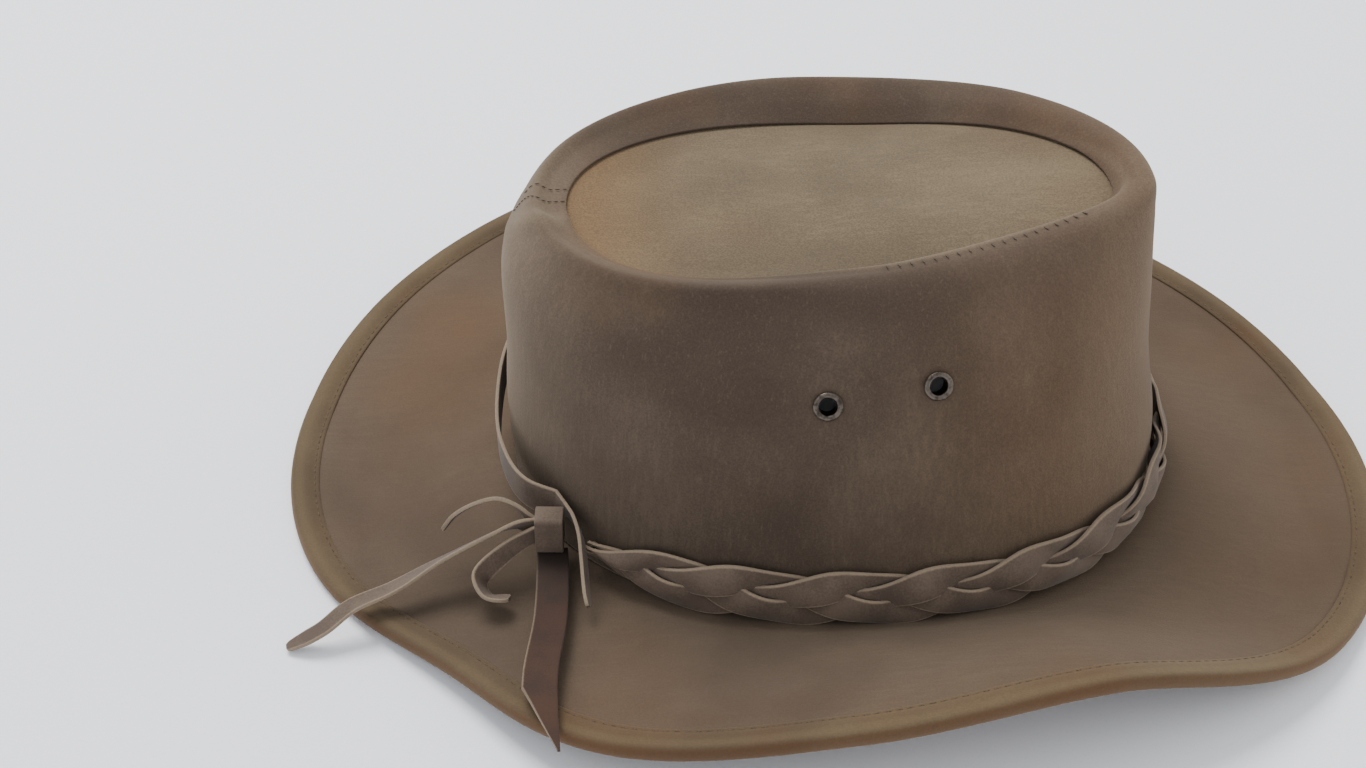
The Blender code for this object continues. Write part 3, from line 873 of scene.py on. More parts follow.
@dataclass(frozen=True)
class HatShape:
    """The hat's named sizes in millimetres, and the surfaces that every piece follows."""

    crown_leather: float = 1.8
    brim_leather: float = 2.6
    hem_leather: float = 1.0
    strip_leather: float = 1.1
    tail_leather: float = 1.2
    clearance: float = 0.35
    front_radius: float = 103.5
    back_radius: float = 104.0
    side_radius: float = 86.0
    crown_height: float = 102.5
    squareness: float = 2.12
    join_height: float = 15.0
    brim_radius: float = 180.0
    brim_lift: float = 31.0
    brim_tuck: float = 3.0
    drawn_angle: float = 219.0
    drawn_depth: float = 0.058
    drawn_spread: float = 15.0
    hem_width: float = 8.0
    angle_step: float = 0.5
    place_step: float = 0.02
    edge_share: float = 0.8
    halvings: int = 22
    rim_place: float = 4.0
    crest_angle: float = 285.0
    crest_low: float = 5.8
    crest_climb: float = 1.0

    def crest_place(self, degrees: float) -> float:
        """Section place of the rim's near crest at a plan angle, at most the last section."""
        turn = turned(degrees, self.crest_angle) / 90.0
        return min(self.crest_low + self.crest_climb * turn * turn, len(CROWN) - 1.0)

    @property
    def hem_half(self) -> float:
        """Half the hem's height over both its layers and the brim."""
        return self.brim_leather / 2 + self.clearance + self.hem_leather

    def section_point(self, row: Section, degrees: float, grow: float = 0.0) -> Vector:
        """Point of a crown section at a plan angle.

        Args:
            row: The section.
            degrees: Plan angle from the front toward the far side.
            grow: Growth of its reach.

        Returns:
            The point.
        """
        cos, sin = math.cos(math.radians(degrees)), math.sin(math.radians(degrees))
        end_reach = row.front * self.front_radius if cos > 0 else row.back * self.back_radius
        long_reach = end_reach + grow
        side_reach = (row.far if sin > 0 else row.near) * self.side_radius + grow
        power = self.squareness
        reach = (abs(cos / long_reach) ** power + abs(sin / side_reach) ** power) ** (-1 / power)
        x, y = reach * cos, reach * sin
        if y < 0:
            y *= 1 - row.pinch * x / long_reach
        end_rise = row.rise_front if cos > 0 else row.rise_back
        side_rise = row.rise_far if sin > 0 else row.rise_near
        rise = end_rise * cos * cos + side_rise * sin * sin
        return Vector((x, y, self.join_height + self.crown_height * rise))

    def crown_point(self, place: float, degrees: float) -> Vector:
        """Point of the crown's outer face.

        Args:
            place: Section place.
            degrees: Plan angle.

        Returns:
            The point.
        """
        point = self.section_point(Section(*spline(CROWN, place)), degrees)
        inward = Vector((-math.cos(math.radians(degrees)), -math.sin(math.radians(degrees)), 0.0))
        for dent in DENTS:
            turn = turned(degrees, dent.angle) / dent.angle_reach
            climb = (place - dent.section) / dent.section_reach
            point += inward * dent.depth * self.side_radius * math.exp(-turn * turn - climb * climb)
        return point

    def wall_frame(self, degrees: float, place: float) -> tuple[Vector, Vector, Vector]:
        """Frame of the crown's outer face.

        Args:
            degrees: Plan angle.
            place: Section place.

        Returns:
            The point, its outward normal and the upward direction.
        """
        along = (self.crown_point(place, degrees + self.angle_step)
                 - self.crown_point(place, degrees - self.angle_step))
        up = (self.crown_point(place + self.place_step, degrees)
              - self.crown_point(place - self.place_step, degrees))
        return self.crown_point(place, degrees), along.cross(up).normalized(), up.normalized()

    def wall_at(self, degrees: float, height: float) -> tuple[Vector, Vector, Vector]:
        """Frame of the crown's wall at a height above the floor.

        Args:
            degrees: Plan angle.
            height: The height.

        Returns:
            The point, its outward normal and the upward direction.
        """
        low, high = 0.0, self.rim_place
        for _ in range(self.halvings):
            middle = (low + high) / 2
            if self.crown_point(middle, degrees).z < height:
                low = middle
            else:
                high = middle
        return self.wall_frame(degrees, low)

    def brim_point(self, degrees: float, share: float) -> Vector:
        """Point of the brim's middle surface.

        Args:
            degrees: Plan angle.
            share: Share of the way from its inner edge to its outer edge.

        Returns:
            The point.
        """
        inner = self.section_point(CROWN[0], degrees, -self.brim_tuck)
        reach, height = ring_spline(BRIM_EDGE, degrees)
        angle = math.radians(degrees)
        reach -= self.drawn_depth * hump(turned(degrees, self.drawn_angle), 0.0, self.drawn_spread)
        outer = reach * self.brim_radius * Vector((math.cos(angle), math.sin(angle), 0.0))
        point = inner.lerp(outer, share)
        start = self.join_height - self.brim_leather / 2
        bend = 0.5 * math.sin(math.pi / 2 * share) + 0.5 * share * share * (3 - 2 * share)
        point.z = max(start + (height * self.brim_lift - start) * bend, self.hem_half)
        return point

    def brim_top(self, x: float, y: float) -> float:
        """Height of the brim's upper face under a point, or at its edge beyond it.

        Args:
            x: Place along the hat.
            y: Place across the hat.

        Returns:
            The height.
        """
        degrees = math.degrees(math.atan2(y, x))
        inner = self.brim_point(degrees, 0.0).xy.length
        outer = self.brim_point(degrees, 1.0).xy.length
        share = (math.hypot(x, y) - inner) / (outer - inner)
        return self.brim_point(degrees, min(max(share, 0.0), 1.0)).z + self.brim_leather / 2

    def foot_height(self, degrees: float) -> float:
        """Height of the wall's lower edge, just above the brim.

        Args:
            degrees: Plan angle.

        Returns:
            The height.
        """
        inner, edge = self.brim_point(degrees, 0.0), self.brim_point(degrees, 1.0)
        share = self.brim_tuck / (edge - inner).length
        return self.brim_point(degrees, share).z + self.brim_leather / 2 + 2 * self.clearance

    def edge_frame(self, degrees: float) -> tuple[Vector, Vector, Vector]:
        """Frame of the brim's edge.

        Args:
            degrees: Plan angle.

        Returns:
            The edge's point, the way inward along the brim, and the brim's upward normal.
        """
        edge = self.brim_point(degrees, 1.0)
        inward = (self.brim_point(degrees, self.edge_share) - edge).normalized()
        along = (self.brim_point(degrees + self.angle_step, 1.0)
                 - self.brim_point(degrees - self.angle_step, 1.0))
        return edge, inward, along.cross(inward).normalized()


@dataclass
class Assembly:
    """What every sub-assembly of the hat shares: its shape and how a piece is handed over."""

    shape: HatShape
    body: str = "root"

    def hand_over(self, item: bpy.types.Object, slot: str, node: str | None = None) -> None:
        """Let a finished piece ride on the hat and stand for its CAD node.

        Args:
            item: The piece.
            slot: Not used.
            node: CAD node that it replaces.
        """
        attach(item, self.body)
        if node:
            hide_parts(node)
        mesh = item.data
        LOG.info("%s: %d faces, %s", item.name, len(mesh.polygons), mesh.materials[0].name)


# ---------------------------------------------------------------- crown


class Mark(NamedTuple):
    """A place of the wall painted lighter, darker or warmer: strength, angle, section place, and
    their reaches.

    Without an angle the mark goes all round, and without a place it follows the near crest.
    """

    strength: float
    angle: float | None
    angle_reach: float
    place: float | None
    place_reach: float

    def share(self, place: float, degrees: float, crest: float) -> float:
        """Strength of the mark at a place of the wall.

        Args:
            place: Section place.
            degrees: Plan angle.
            crest: Section place of the near crest at that angle.

        Returns:
            The strength there.
        """
        middle = crest if self.place is None else self.place
        strength = self.strength * hump(place, middle, self.place_reach)
        if self.angle is None:
            return strength
        return strength * hump(turned(degrees, self.angle), 0.0, self.angle_reach)


@dataclass
class Crown(Assembly):
    """Side wall with its rolled rim, and the recessed tip panel."""

    around: int = 360
    steps: int = 16
    wall_waves: Pairs = ((48.0, 0.8), (19.0, 0.14))
    foot_calm: float = 0.15
    tip_lap: float = 3.0
    tip_sag: float = 1.5
    tip_ridge: float = 2.5
    tip_shift: float = 0.3
    tip_rings: int = 44
    hole_radius: float = 3.2
    crest_height: float = 1.2
    crest_width: float = 0.2
    crest_spread: float = 76.0
    crease_angle: float = 188.0
    crease_place: float = 5.4
    crease_bends: tuple[float, float] = (2.3, 1.0)
    crease_height: float = 2.0
    crease_width: float = 2.3
    crease_length: float = 1.5
    # Lighter along the crease: partly wear, partly painted highlight.
    crease_lightening: float = 0.6
    # Lighter along the near crest and on the back shoulder of the rim: partly wear, partly painted
    # highlight.
    wear_and_highlight_marks: tuple[Mark, ...] = (
        Mark(1.0, 305.0, 50.0, None, 0.2),
        Mark(0.45, 172.0, 14.0, 5.6, 1.3),
    )
    # Painted highlight on the front and back ends of the wall, where the side lights fall.
    end_highlights: tuple[Mark, ...] = (
        Mark(0.3, 0.0, 34.0, 3.0, 2.6),
        Mark(0.3, 180.0, 26.0, 3.0, 2.6),
    )
    # Painted shade: round the foot, along the top edge under the tip, in the dent below the near
    # crest, over the near-left crest and low on the near-left wall above the braid.
    shade_marks: tuple[Mark, ...] = (
        Mark(0.3, None, 0.0, 0.0, 0.8),
        Mark(0.2, None, 0.0, 7.0, 0.2),
        Mark(0.34, 208.0, 15.0, 4.9, 0.8),
        Mark(0.3, 226.0, 34.0, 5.9, 0.7),
        Mark(0.22, 234.0, 26.0, 0.9, 1.0),
    )
    warm_marks: tuple[Mark, ...] = (
        Mark(0.5, 208.0, 22.0, None, 0.45),
        Mark(0.35, 322.0, 34.0, 2.0, 2.4),
    )
    tip_drop: float = 0.9
    tip_waves: Pairs = ((44.0, 0.8), (16.0, 0.12))
    tip_calm: int = 4
    # Painted highlight along a soft ridge on the front half of the tip.
    ridge_slant: float = 0.12
    ridge_aside: float = 6.0
    ridge_width: float = 8.0
    ridge_start: float = 40.0
    ridge_highlight: float = 0.6
    tan_end: float = -82.0
    tan_reach: float = 22.0
    tan_share: float = 0.6
    # Painted shade on the tip's outer edge, where it goes under the rim.
    lap_shade: float = 0.3
    lap_shade_from: float = 0.94
    lap_shade_climb: float = 6.0

    def wall(self, vents: "Vents") -> bpy.types.Object:
        """Make the side wall, with the eyelets' holes cut through it.

        Args:
            vents: The eyelets.

        Returns:
            The wall.
        """
        rings = (len(CROWN) - 1) * self.steps + 1
        points = np.empty((rings, self.around, 3))
        worn, grime, warm = (np.zeros((rings, self.around)) for _ in range(3))
        for ring in range(rings):
            place = ring / self.steps
            for column in range(self.around):
                degrees = 360.0 * column / self.around
                point, normal, _ = self.shape.wall_frame(degrees, place)
                point += normal * self.fold(place, degrees)
                if ring == 0:
                    point.z = self.shape.foot_height(degrees)
                points[ring, column] = point
                marks = self.markings(place, degrees)
                worn[ring, column], grime[ring, column], warm[ring, column] = marks
        item = sheet_mesh("crown_wall", points)
        fade = np.clip(np.arange(rings) / self.steps, self.foot_calm, 1.0).repeat(self.around)
        ripple(item.data, self.wall_waves, fade)
        for name, values in (("worn", worn), ("grime", grime), ("warm", warm)):
            keep(item.data, name, values.ravel())
        item.data.materials.append(Finish.CROWN.material())
        thicken(item, self.shape.crown_leather, -1.0)
        for cutter in vents.cutters(self.hole_radius):
            hole = item.modifiers.new("hole", "BOOLEAN")
            hole.operation = "DIFFERENCE"
            hole.solver = "EXACT"
            hole.object = cutter
        done = bake(item, "crown_wall")
        vents.clear_cutters()
        return done

    def fold(self, place: float, degrees: float) -> float:
        """Height of the crisp folds of the rim over its plain form, in millimetres.

        Args:
            place: Section place.
            degrees: Plan angle.

        Returns:
            The height.
        """
        shape = self.shape
        near = hump(turned(degrees, shape.crest_angle), 0.0, self.crest_spread)
        crest = near * hump(place, shape.crest_place(degrees), self.crest_width)
        return self.crest_height * crest + self.crease_height * self.crease(place, degrees)

    def crease(self, place: float, degrees: float) -> float:
        """Share of the crease that crosses the rim at the near back corner.

        Args:
            place: Section place.
            degrees: Plan angle.

        Returns:
            The share from 0 to 1.
        """
        away = place - self.crease_place
        middle = self.crease_angle - self.crease_bends[away > 0] * away * away
        across = hump(turned(degrees, middle), 0.0, self.crease_width)
        return hump(away, 0.0, self.crease_length) * across

    def markings(self, place: float, degrees: float) -> tuple[float, float, float]:
        """Wear and painted highlight, painted shade and warm tan of the wall at a place.

        Args:
            place: Section place.
            degrees: Plan angle.

        Returns:
            The three shares, each from 0 to 1.
        """
        crest = self.shape.crest_place(degrees)
        worn, ends, grime, warm = (
            [mark.share(place, degrees, crest) for mark in marks]
            for marks in (self.wear_and_highlight_marks, self.end_highlights, self.shade_marks, self.warm_marks))
        # Lighter places: wear and painted highlight along the crest and crease, painted highlight
        # at the ends.
        lightened = sum(worn) + max(ends) + self.crease_lightening * self.crease(place, degrees)
        return min(lightened, 1.0), min(sum(grime), 1.0), min(sum(warm), 1.0)

    def tip_point(self, share: float, degrees: float) -> Vector:
        """Point of the tip panel's upper face.

        Args:
            share: Share of the way from its middle to its lap.
            degrees: Plan angle.

        Returns:
            The point.
        """
        shape = self.shape
        row = CROWN[-1]
        drop = shape.crown_leather + shape.clearance
        rise = shape.crown_height * (row.rise_front + row.rise_back) / 2
        height = shape.join_height + rise - drop - self.tip_sag
        centre = Vector((0.0, self.tip_shift * (row.far - row.near) * shape.side_radius, height))
        edge = shape.section_point(row, degrees, self.tip_lap)
        edge.z -= self.tip_drop
        point = centre.lerp(edge, share)
        ridge = self.tip_ridge * math.sin(math.pi * share) * math.cos(math.radians(degrees))
        point.z = height + (edge.z - height) * share * share + max(ridge, -self.tip_ridge / 2)
        return point

    def tip(self) -> bpy.types.Object:
        """Make the recessed top panel.

        Returns:
            The panel.
        """
        columns = self.around // 2
        points = surface_grid(self.tip_rings + 1, columns, self.tip_point)
        item = sheet_mesh("tip_panel", points[:, ::-1], centre=True)
        outward_up(item.data)
        outer = (np.arange(1, self.tip_rings + 1) / self.tip_rings).repeat(columns)
        shares = np.concatenate(([0.0], outer))
        ripple(item.data, self.tip_waves, 1.0 - shares ** self.tip_calm)
        places = np.empty(len(item.data.vertices) * 3, np.float32)
        item.data.vertices.foreach_get("co", places)
        x, y = places.reshape(-1, 3)[:, 0] / MM, places.reshape(-1, 3)[:, 1] / MM
        aside = (y - self.ridge_slant * x - self.ridge_aside) / self.ridge_width
        ridge = np.exp(-aside ** 2) * np.clip(x / self.ridge_start, 0.0, 1.0)
        back = np.exp(-((x - self.tan_end) / self.tan_reach) ** 2)
        lap = (shares - self.lap_shade_from) * self.lap_shade_climb
        # Painted highlight on the ridge and painted shade at the lap; the warm tan at the back end
        # is the leather's own.
        keep(item.data, "worn", self.ridge_highlight * ridge)
        keep(item.data, "warm", self.tan_share * back)
        keep(item.data, "grime", np.clip(lap, 0.0, self.lap_shade))
        item.data.materials.append(Finish.TIP.material())
        thicken(item, self.shape.crown_leather, -1.0)
        return bake(item, "tip_panel")

    def build(self, vents: "Vents") -> None:
        """Make and hand over the crown's pieces.

        Args:
            vents: The eyelets.
        """
        self.hand_over(self.wall(vents), "crown_leather", "crown_side")
        self.hand_over(self.tip(), "tip_leather", "crown_tip")


def outward_up(mesh: bpy.types.Mesh) -> None:
    """Turn an open sheet so that its faces look upward.

    Args:
        mesh: The sheet.
    """
    normals = np.empty(len(mesh.polygons) * 3, np.float32)
    mesh.polygons.foreach_get("normal", normals)
    if normals.reshape(-1, 3)[:, 2].mean() < 0:
        mesh.flip_normals()


# ---------------------------------------------------------------- brim


@dataclass
class Brim(Assembly):
    """The brim sheet and the hem folded round its edge."""

    around: int = 360
    rings: int = 56
    sheet_waves: Pairs = ((58.0, 1.2), (21.0, 0.16))
    calm_inner: float = 5.0
    calm_outer: float = 8.0
    calm_share: float = 0.93
    # Lighter band near the outer edge: partly wear, partly painted highlight.
    edge_lightening: float = 0.2
    edge_lightening_share: float = 0.9
    edge_lightening_reach: float = 0.06
    # Painted shade at the crown's foot.
    foot_shade: float = 0.35
    foot_shade_reach: float = 0.08
    # Painted shade growing toward the front, which also warms the colour there.
    front_start: float = 20.0
    front_length: float = 160.0
    front_shade: float = 0.2
    back_tan: float = 0.35
    back_tan_place: tuple[float, float] = (-125.0, 40.0)
    back_tan_reach: tuple[float, float] = (32.0, 55.0)
    hem_around: int = 540
    hem_round: float = 0.25
    hem_gap: float = 0.05
    hem_lip: Pairs = ((0.0, 0.12), (0.35, 0.4), (0.9, 0.58), (1.5, 0.62), (2.2, 0.8))
    hem_shoulder: Pairs = ((3.2, 0.12), (4.6, 0.0))
    hem_turn: float = 1.8
    hem_fold: float = 0.6
    hem_slot: float = 0.2
    hem_fold_steps: int = 13
    pucker: float = 0.16
    pucker_pitch: float = 0.35
    pucker_share: float = 0.35
    pucker_from: float = 1.5
    # Lighter along the top of the hem's lip: partly wear, partly painted highlight.
    lip_lightening: float = 0.5
    lip_lightening_place: float = 1.2
    lip_lightening_reach: float = 1.6
    side_tan: float = 0.6
    side_tan_reach: float = 1.5
    side_tan_below: float = 1.9

    def sheet(self) -> bpy.types.Object:
        """Make the brim sheet.

        Returns:
            The sheet.
        """
        points = surface_grid(self.rings + 1, self.around,
                              lambda share, degrees: self.shape.brim_point(degrees, share))
        item = sheet_mesh("brim_sheet", points)
        outward_up(item.data)
        shares = (np.arange(self.rings + 1) / self.rings).repeat(self.around)
        inner = np.clip(shares * self.calm_inner, 0.0, 1.0)
        outer = np.clip((self.calm_share - shares) * self.calm_outer, 0.0, 1.0)
        ripple(item.data, self.sheet_waves, inner * outer)
        flat = points.reshape(-1, 3)
        edge = np.exp(-((shares - self.edge_lightening_share) / self.edge_lightening_reach) ** 2)
        foot = np.exp(-(shares / self.foot_shade_reach) ** 2)
        front = np.clip((flat[:, 0] - self.front_start) / self.front_length, 0.0, 1.0)
        away = (flat[:, :2] - self.back_tan_place) / self.back_tan_reach
        back = np.exp(-(away ** 2).sum(axis=1))
        # Wear and painted highlight near the edge; painted shade at the foot and toward the front,
        # where a warm tint is added too.
        keep(item.data, "worn", self.edge_lightening * edge)
        keep(item.data, "grime", self.foot_shade * foot + self.front_shade * front)
        keep(item.data, "warm", self.back_tan * back + self.front_shade * front)
        item.data.materials.append(Finish.BRIM.material())
        thicken(item, self.shape.brim_leather, 0.0)
        return bake(item, "brim_sheet")

    def hem_profile(self) -> list[tuple[float, float]]:
        """Corners of the hem's fold: reach in from the edge, and rise from the middle.

        The lip's pairs are a step out from the hem's width and a rise over the brim, and the
        shoulder's are a step out and a drop from the hem's full height.

        Returns:
            The closed profile.
        """
        shape = self.shape
        half, inner = shape.hem_half, shape.brim_leather / 2 + self.hem_gap
        nose = shape.clearance + shape.hem_leather + self.hem_round
        wide = shape.hem_width
        upper = [(wide - reach, inner + rise) for reach, rise in self.hem_lip]
        upper += [(wide - reach, half - drop) for reach, drop in self.hem_shoulder]
        upper += [(self.hem_turn, half)]
        angles = np.linspace(0.0, math.pi, self.hem_fold_steps)[1:-1]
        turn = [(-nose * math.sin(a), half * math.cos(a)) for a in angles]
        fold = [(self.hem_fold, half), *turn, (self.hem_fold, -half)]
        lower = [(reach, -rise) for reach, rise in reversed(upper)]
        slot = -self.hem_slot
        inside = [(wide, -inner), (slot, -inner), (slot, inner), (wide, inner)]
        return upper + fold + lower + inside

    def hem(self) -> bpy.types.Object:
        """Make the hem.

        Returns:
            The hem.
        """
        profile = self.hem_profile()
        points = np.empty((self.hem_around, len(profile), 3))
        outer = max(abs(rise) for _, rise in profile)
        for column in range(self.hem_around):
            degrees = 360.0 * column / self.hem_around
            edge, inward, normal = self.shape.edge_frame(degrees)
            pucker = self.pucker * noise.noise(Vector((column * self.pucker_pitch, 2.0, 5.0)))
            for corner, (reach, rise) in enumerate(profile):
                share = self.pucker_share if abs(rise) >= self.pucker_from else 0.0
                swell = 1.0 + pucker * (abs(rise) / outer) * share
                points[column, corner] = edge + inward * reach + normal * rise * min(swell, 1.0)
        item = ring_mesh("rolled_hem", points)
        reach = np.array([r for r, _ in profile])
        rise = np.array([h for _, h in profile])
        lip = np.exp(-((reach - self.lip_lightening_place) / self.lip_lightening_reach) ** 2) * (rise > 0)
        side = np.clip(1.0 - reach / self.side_tan_reach, 0.0, 1.0) * (rise < self.side_tan_below)
        # Lighter lip: partly wear, partly painted highlight.
        keep(item.data, "worn", self.lip_lightening * np.tile(lip, self.hem_around))
        keep(item.data, "warm", self.side_tan * np.tile(side, self.hem_around))
        keep(item.data, "grime", np.zeros(len(item.data.vertices)))
        item.data.materials.append(Finish.HEM.material())
        return item

    def build(self) -> None:
        """Make and hand over the brim's pieces."""
        self.hand_over(self.sheet(), "brim_leather", "brim")
        self.hand_over(self.hem(), "hem_leather", "brim_hem")


# ---------------------------------------------------------------- eyelets


class VentRow(NamedTuple):
    """An eyelet's CAD node, its angle on the crown and its section place."""

    node: str
    angle: float
    section: float


@dataclass
class Vents(Assembly):
    """The four metal eyelets and the tools that cut their holes."""

    rows: tuple[VentRow, ...] = (
        VentRow("eyelet_near_back", 263.4, 2.66),
        VentRow("eyelet_near_front", 289.2, 2.80),
        VentRow("eyelet_far_back", 96.6, 2.66),
        VentRow("eyelet_far_front", 70.8, 2.80),
    )
    bore: float = 2.6
    metal: float = 0.4
    flange: float = 1.3
    washer: float = 1.4
    dome: float = 0.85
    seat_gap: float = 0.3
    arch_foot: float = 0.25
    arch_fullness: float = 0.8
    arch_steps: int = 13
    flange_round: float = 0.1
    bore_round: float = 0.3
    bore_turn: float = 1.5
    sharp_angle: float = 50.0
    around: int = 56
    cutter_depth: float = 12.0
    tools: list[bpy.types.Object] = field(default_factory=list)

    def cutters(self, radius: float) -> list[bpy.types.Object]:
        """Make the cylinders that cut the holes.

        Args:
            radius: Their radius in millimetres.

        Returns:
            The cylinders.
        """
        self.tools = []
        for row in self.rows:
            origin, axis, _ = self.shape.wall_frame(row.angle, row.section)
            mesh = bpy.data.meshes.new("vent_tool")
            shape = bmesh.new()
            turn = axis.to_track_quat("Z", "Y").to_matrix().to_4x4()
            bmesh.ops.create_cone(
                shape, cap_ends=True, segments=self.around, radius1=radius * MM,
                radius2=radius * MM, depth=self.cutter_depth * MM,
                matrix=Matrix.Translation(origin * MM) @ turn)
            shape.to_mesh(mesh)
            shape.free()
            self.tools.append(link("vent_tool", mesh))
        return self.tools

    def clear_cutters(self) -> None:
        """Remove the cylinders."""
        for tool in self.tools:
            bpy.data.objects.remove(tool, do_unlink=True)
        self.tools = []

    def profile(self) -> list[tuple[float, float]]:
        """Closed profile of an eyelet: radius, and height above the wall's face.

        Returns:
            The profile.
        """
        seat = self.shape.clearance + self.seat_gap
        barrel = self.bore + self.metal
        flange = barrel + self.flange
        washer = barrel + self.washer
        top = seat + self.dome
        back = -self.shape.crown_leather - seat
        middle = (self.bore + flange) / 2
        half = (flange - self.bore) / 2
        foot = seat + self.arch_foot
        arch = [(middle - half * math.cos(a),
                 foot + (top - foot) * math.sin(a) ** self.arch_fullness)
                for a in np.linspace(0.0, math.pi, self.arch_steps)]
        return [*arch, (flange - self.flange_round, seat), (barrel, seat), (barrel, back),
                (washer, back), (washer, back - self.metal),
                (self.bore + self.bore_round, back - self.bore_turn * self.metal),
                (self.bore, back - self.metal)]

    def build(self) -> None:
        """Make and hand over the eyelets."""
        profile = self.profile()
        for row in self.rows:
            origin, axis, _ = self.shape.wall_frame(row.angle, row.section)
            side = axis.orthogonal().normalized()
            other = axis.cross(side)
            points = np.empty((self.around, len(profile), 3))
            for step in range(self.around):
                turn = 2 * math.pi * step / self.around
                out = side * math.cos(turn) + other * math.sin(turn)
                for corner, (radius, height) in enumerate(profile):
                    points[step, corner] = origin + out * radius + axis * height
            item = ring_mesh(row.node + "_ring", points)
            item.data.set_sharp_from_angle(angle=math.radians(self.sharp_angle))
            item.data.materials.append(Finish.METAL.material())
            self.hand_over(item, "eyelet_metal", row.node)


# ---------------------------------------------------------------- band


class StripLoom(Loom):
    """Sweeps a rounded strip profile along a path that carries its width and face vectors."""

    def __init__(self) -> None:
        """Write the tree."""
        super().__init__("strip", ("Cup", "Half Width"))
        self.tree.interface.new_socket("Profile", in_out="INPUT", socket_type="NodeSocketObject")
        path = self.add("GeometryNodeMeshToCurve", None, {"Mesh": self.entry.outputs["Geometry"]})
        given = {"Object": self.entry.outputs["Profile"]}
        section = self.add("GeometryNodeObjectInfo", None, given)
        outline = self.add("GeometryNodeMeshToCurve", None, {"Mesh": section.outputs["Geometry"]})
        swept = self.add("GeometryNodeCurveToMesh", None, {
            "Curve": path.outputs[0], "Profile Curve": outline.outputs[0], "Fill Caps": True})
        parts = self.add("ShaderNodeSeparateXYZ", None, {"Vector": self.kept("profile")})
        side = self.value(parts.outputs[0])
        share = side.join("DIVIDE", side, self.value(self.entry.outputs["Half Width"]))
        cup = self.value(self.entry.outputs["Cup"])
        lift = self.value(parts.outputs[1]) + share * share * cup
        place = self.vector("ADD", first=self.kept("core"),
                            second=self.vector("SCALE", first=self.kept("across"), scale=share))
        place = self.vector("ADD", first=place,
                            second=self.vector("SCALE", first=self.kept("face"), scale=lift))
        moved = self.add("GeometryNodeSetPosition", None, {
            "Geometry": swept.outputs[0], "Position": place})
        self.end(moved.outputs[0])

    @staticmethod
    def profile(width: float, thickness: float, corner: float = 0.3,
                steps: int = 10) -> bpy.types.Object:
        """Make a strip's rounded cross-section.

        Args:
            width: Width in millimetres.
            thickness: Thickness in millimetres.
            corner: Radius of its corners.
            steps: Pieces across each face.

        Returns:
            The closed outline's object.
        """
        x, y = width / 2 - corner, thickness / 2 - corner
        corners = []
        for quarter, (sx, sy) in enumerate(((1, 1), (-1, 1), (-1, -1), (1, -1))):
            for turn in (0.0, 30.0, 60.0, 90.0):
                angle = math.radians(90.0 * quarter + turn)
                corners.append((sx * x + corner * math.cos(angle),
                                sy * y + corner * math.sin(angle), 0.0))
            if quarter in (0, 2):
                start, end = (x, -x) if quarter == 0 else (-x, x)
                rise = thickness / 2 * sy
                corners.extend((start + (end - start) * step / steps, rise, 0.0)
                               for step in range(1, steps))
        points = np.array(corners)
        return line_mesh("strip_profile", points, True, profile=points * MM)

    def weave(self, name: str, points: np.ndarray, across: np.ndarray, face: np.ndarray,
              width: float, thickness: float, cup: float,
              material: bpy.types.Material) -> bpy.types.Object:
        """Make one strip.

        Args:
            name: Its name.
            points: The path in millimetres.
            across: Half-width vectors in millimetres.
            face: Unit normals of the strip's face.
            width: Width of its section.
            thickness: Thickness of its section.
            cup: How far the edges stand from the middle, in millimetres.
            material: Its material.

        Returns:
            The strip.
        """
        path = line_mesh(name + "_path", points, False,
                         core=points * MM, across=across * MM, face=face)
        section = self.profile(width, thickness)
        sizes = {"Cup": cup * MM, "Half Width": width / 2 * MM, "Profile": section}
        item = self.run(path, name, material, sizes)
        bpy.data.objects.remove(section, do_unlink=True)
        outward(item.data)
        item.data.shade_smooth()
        return item


class StripTone(Enum):
    """Face, shade and cut-edge colours of the band's strips."""

    TAUPE = ((98, 83, 70), (82, 68, 57), (138, 121, 101))
    RUSSET = ((62, 39, 26), (49, 32, 22), (122, 104, 84))


class StrapRow(NamedTuple):
    """Strap: shares of its angle before the keeper, of its climb and of its standoff."""

    before: float
    climb: float
    standoff: float


class Row(NamedTuple):
    """Loose strip: shares of the reach ahead and aside, over the brim, lift, and tilt."""

    ahead: float
    aside: float
    over: float
    lift: float
    tilt: float


class Tail(NamedTuple):
    """A loose end: its width, shares at root and end, layer in the keeper, lift and route."""

    name: str
    width: float
    root: float
    end: float
    layer: int
    lift: str
    route: tuple[Row, ...]


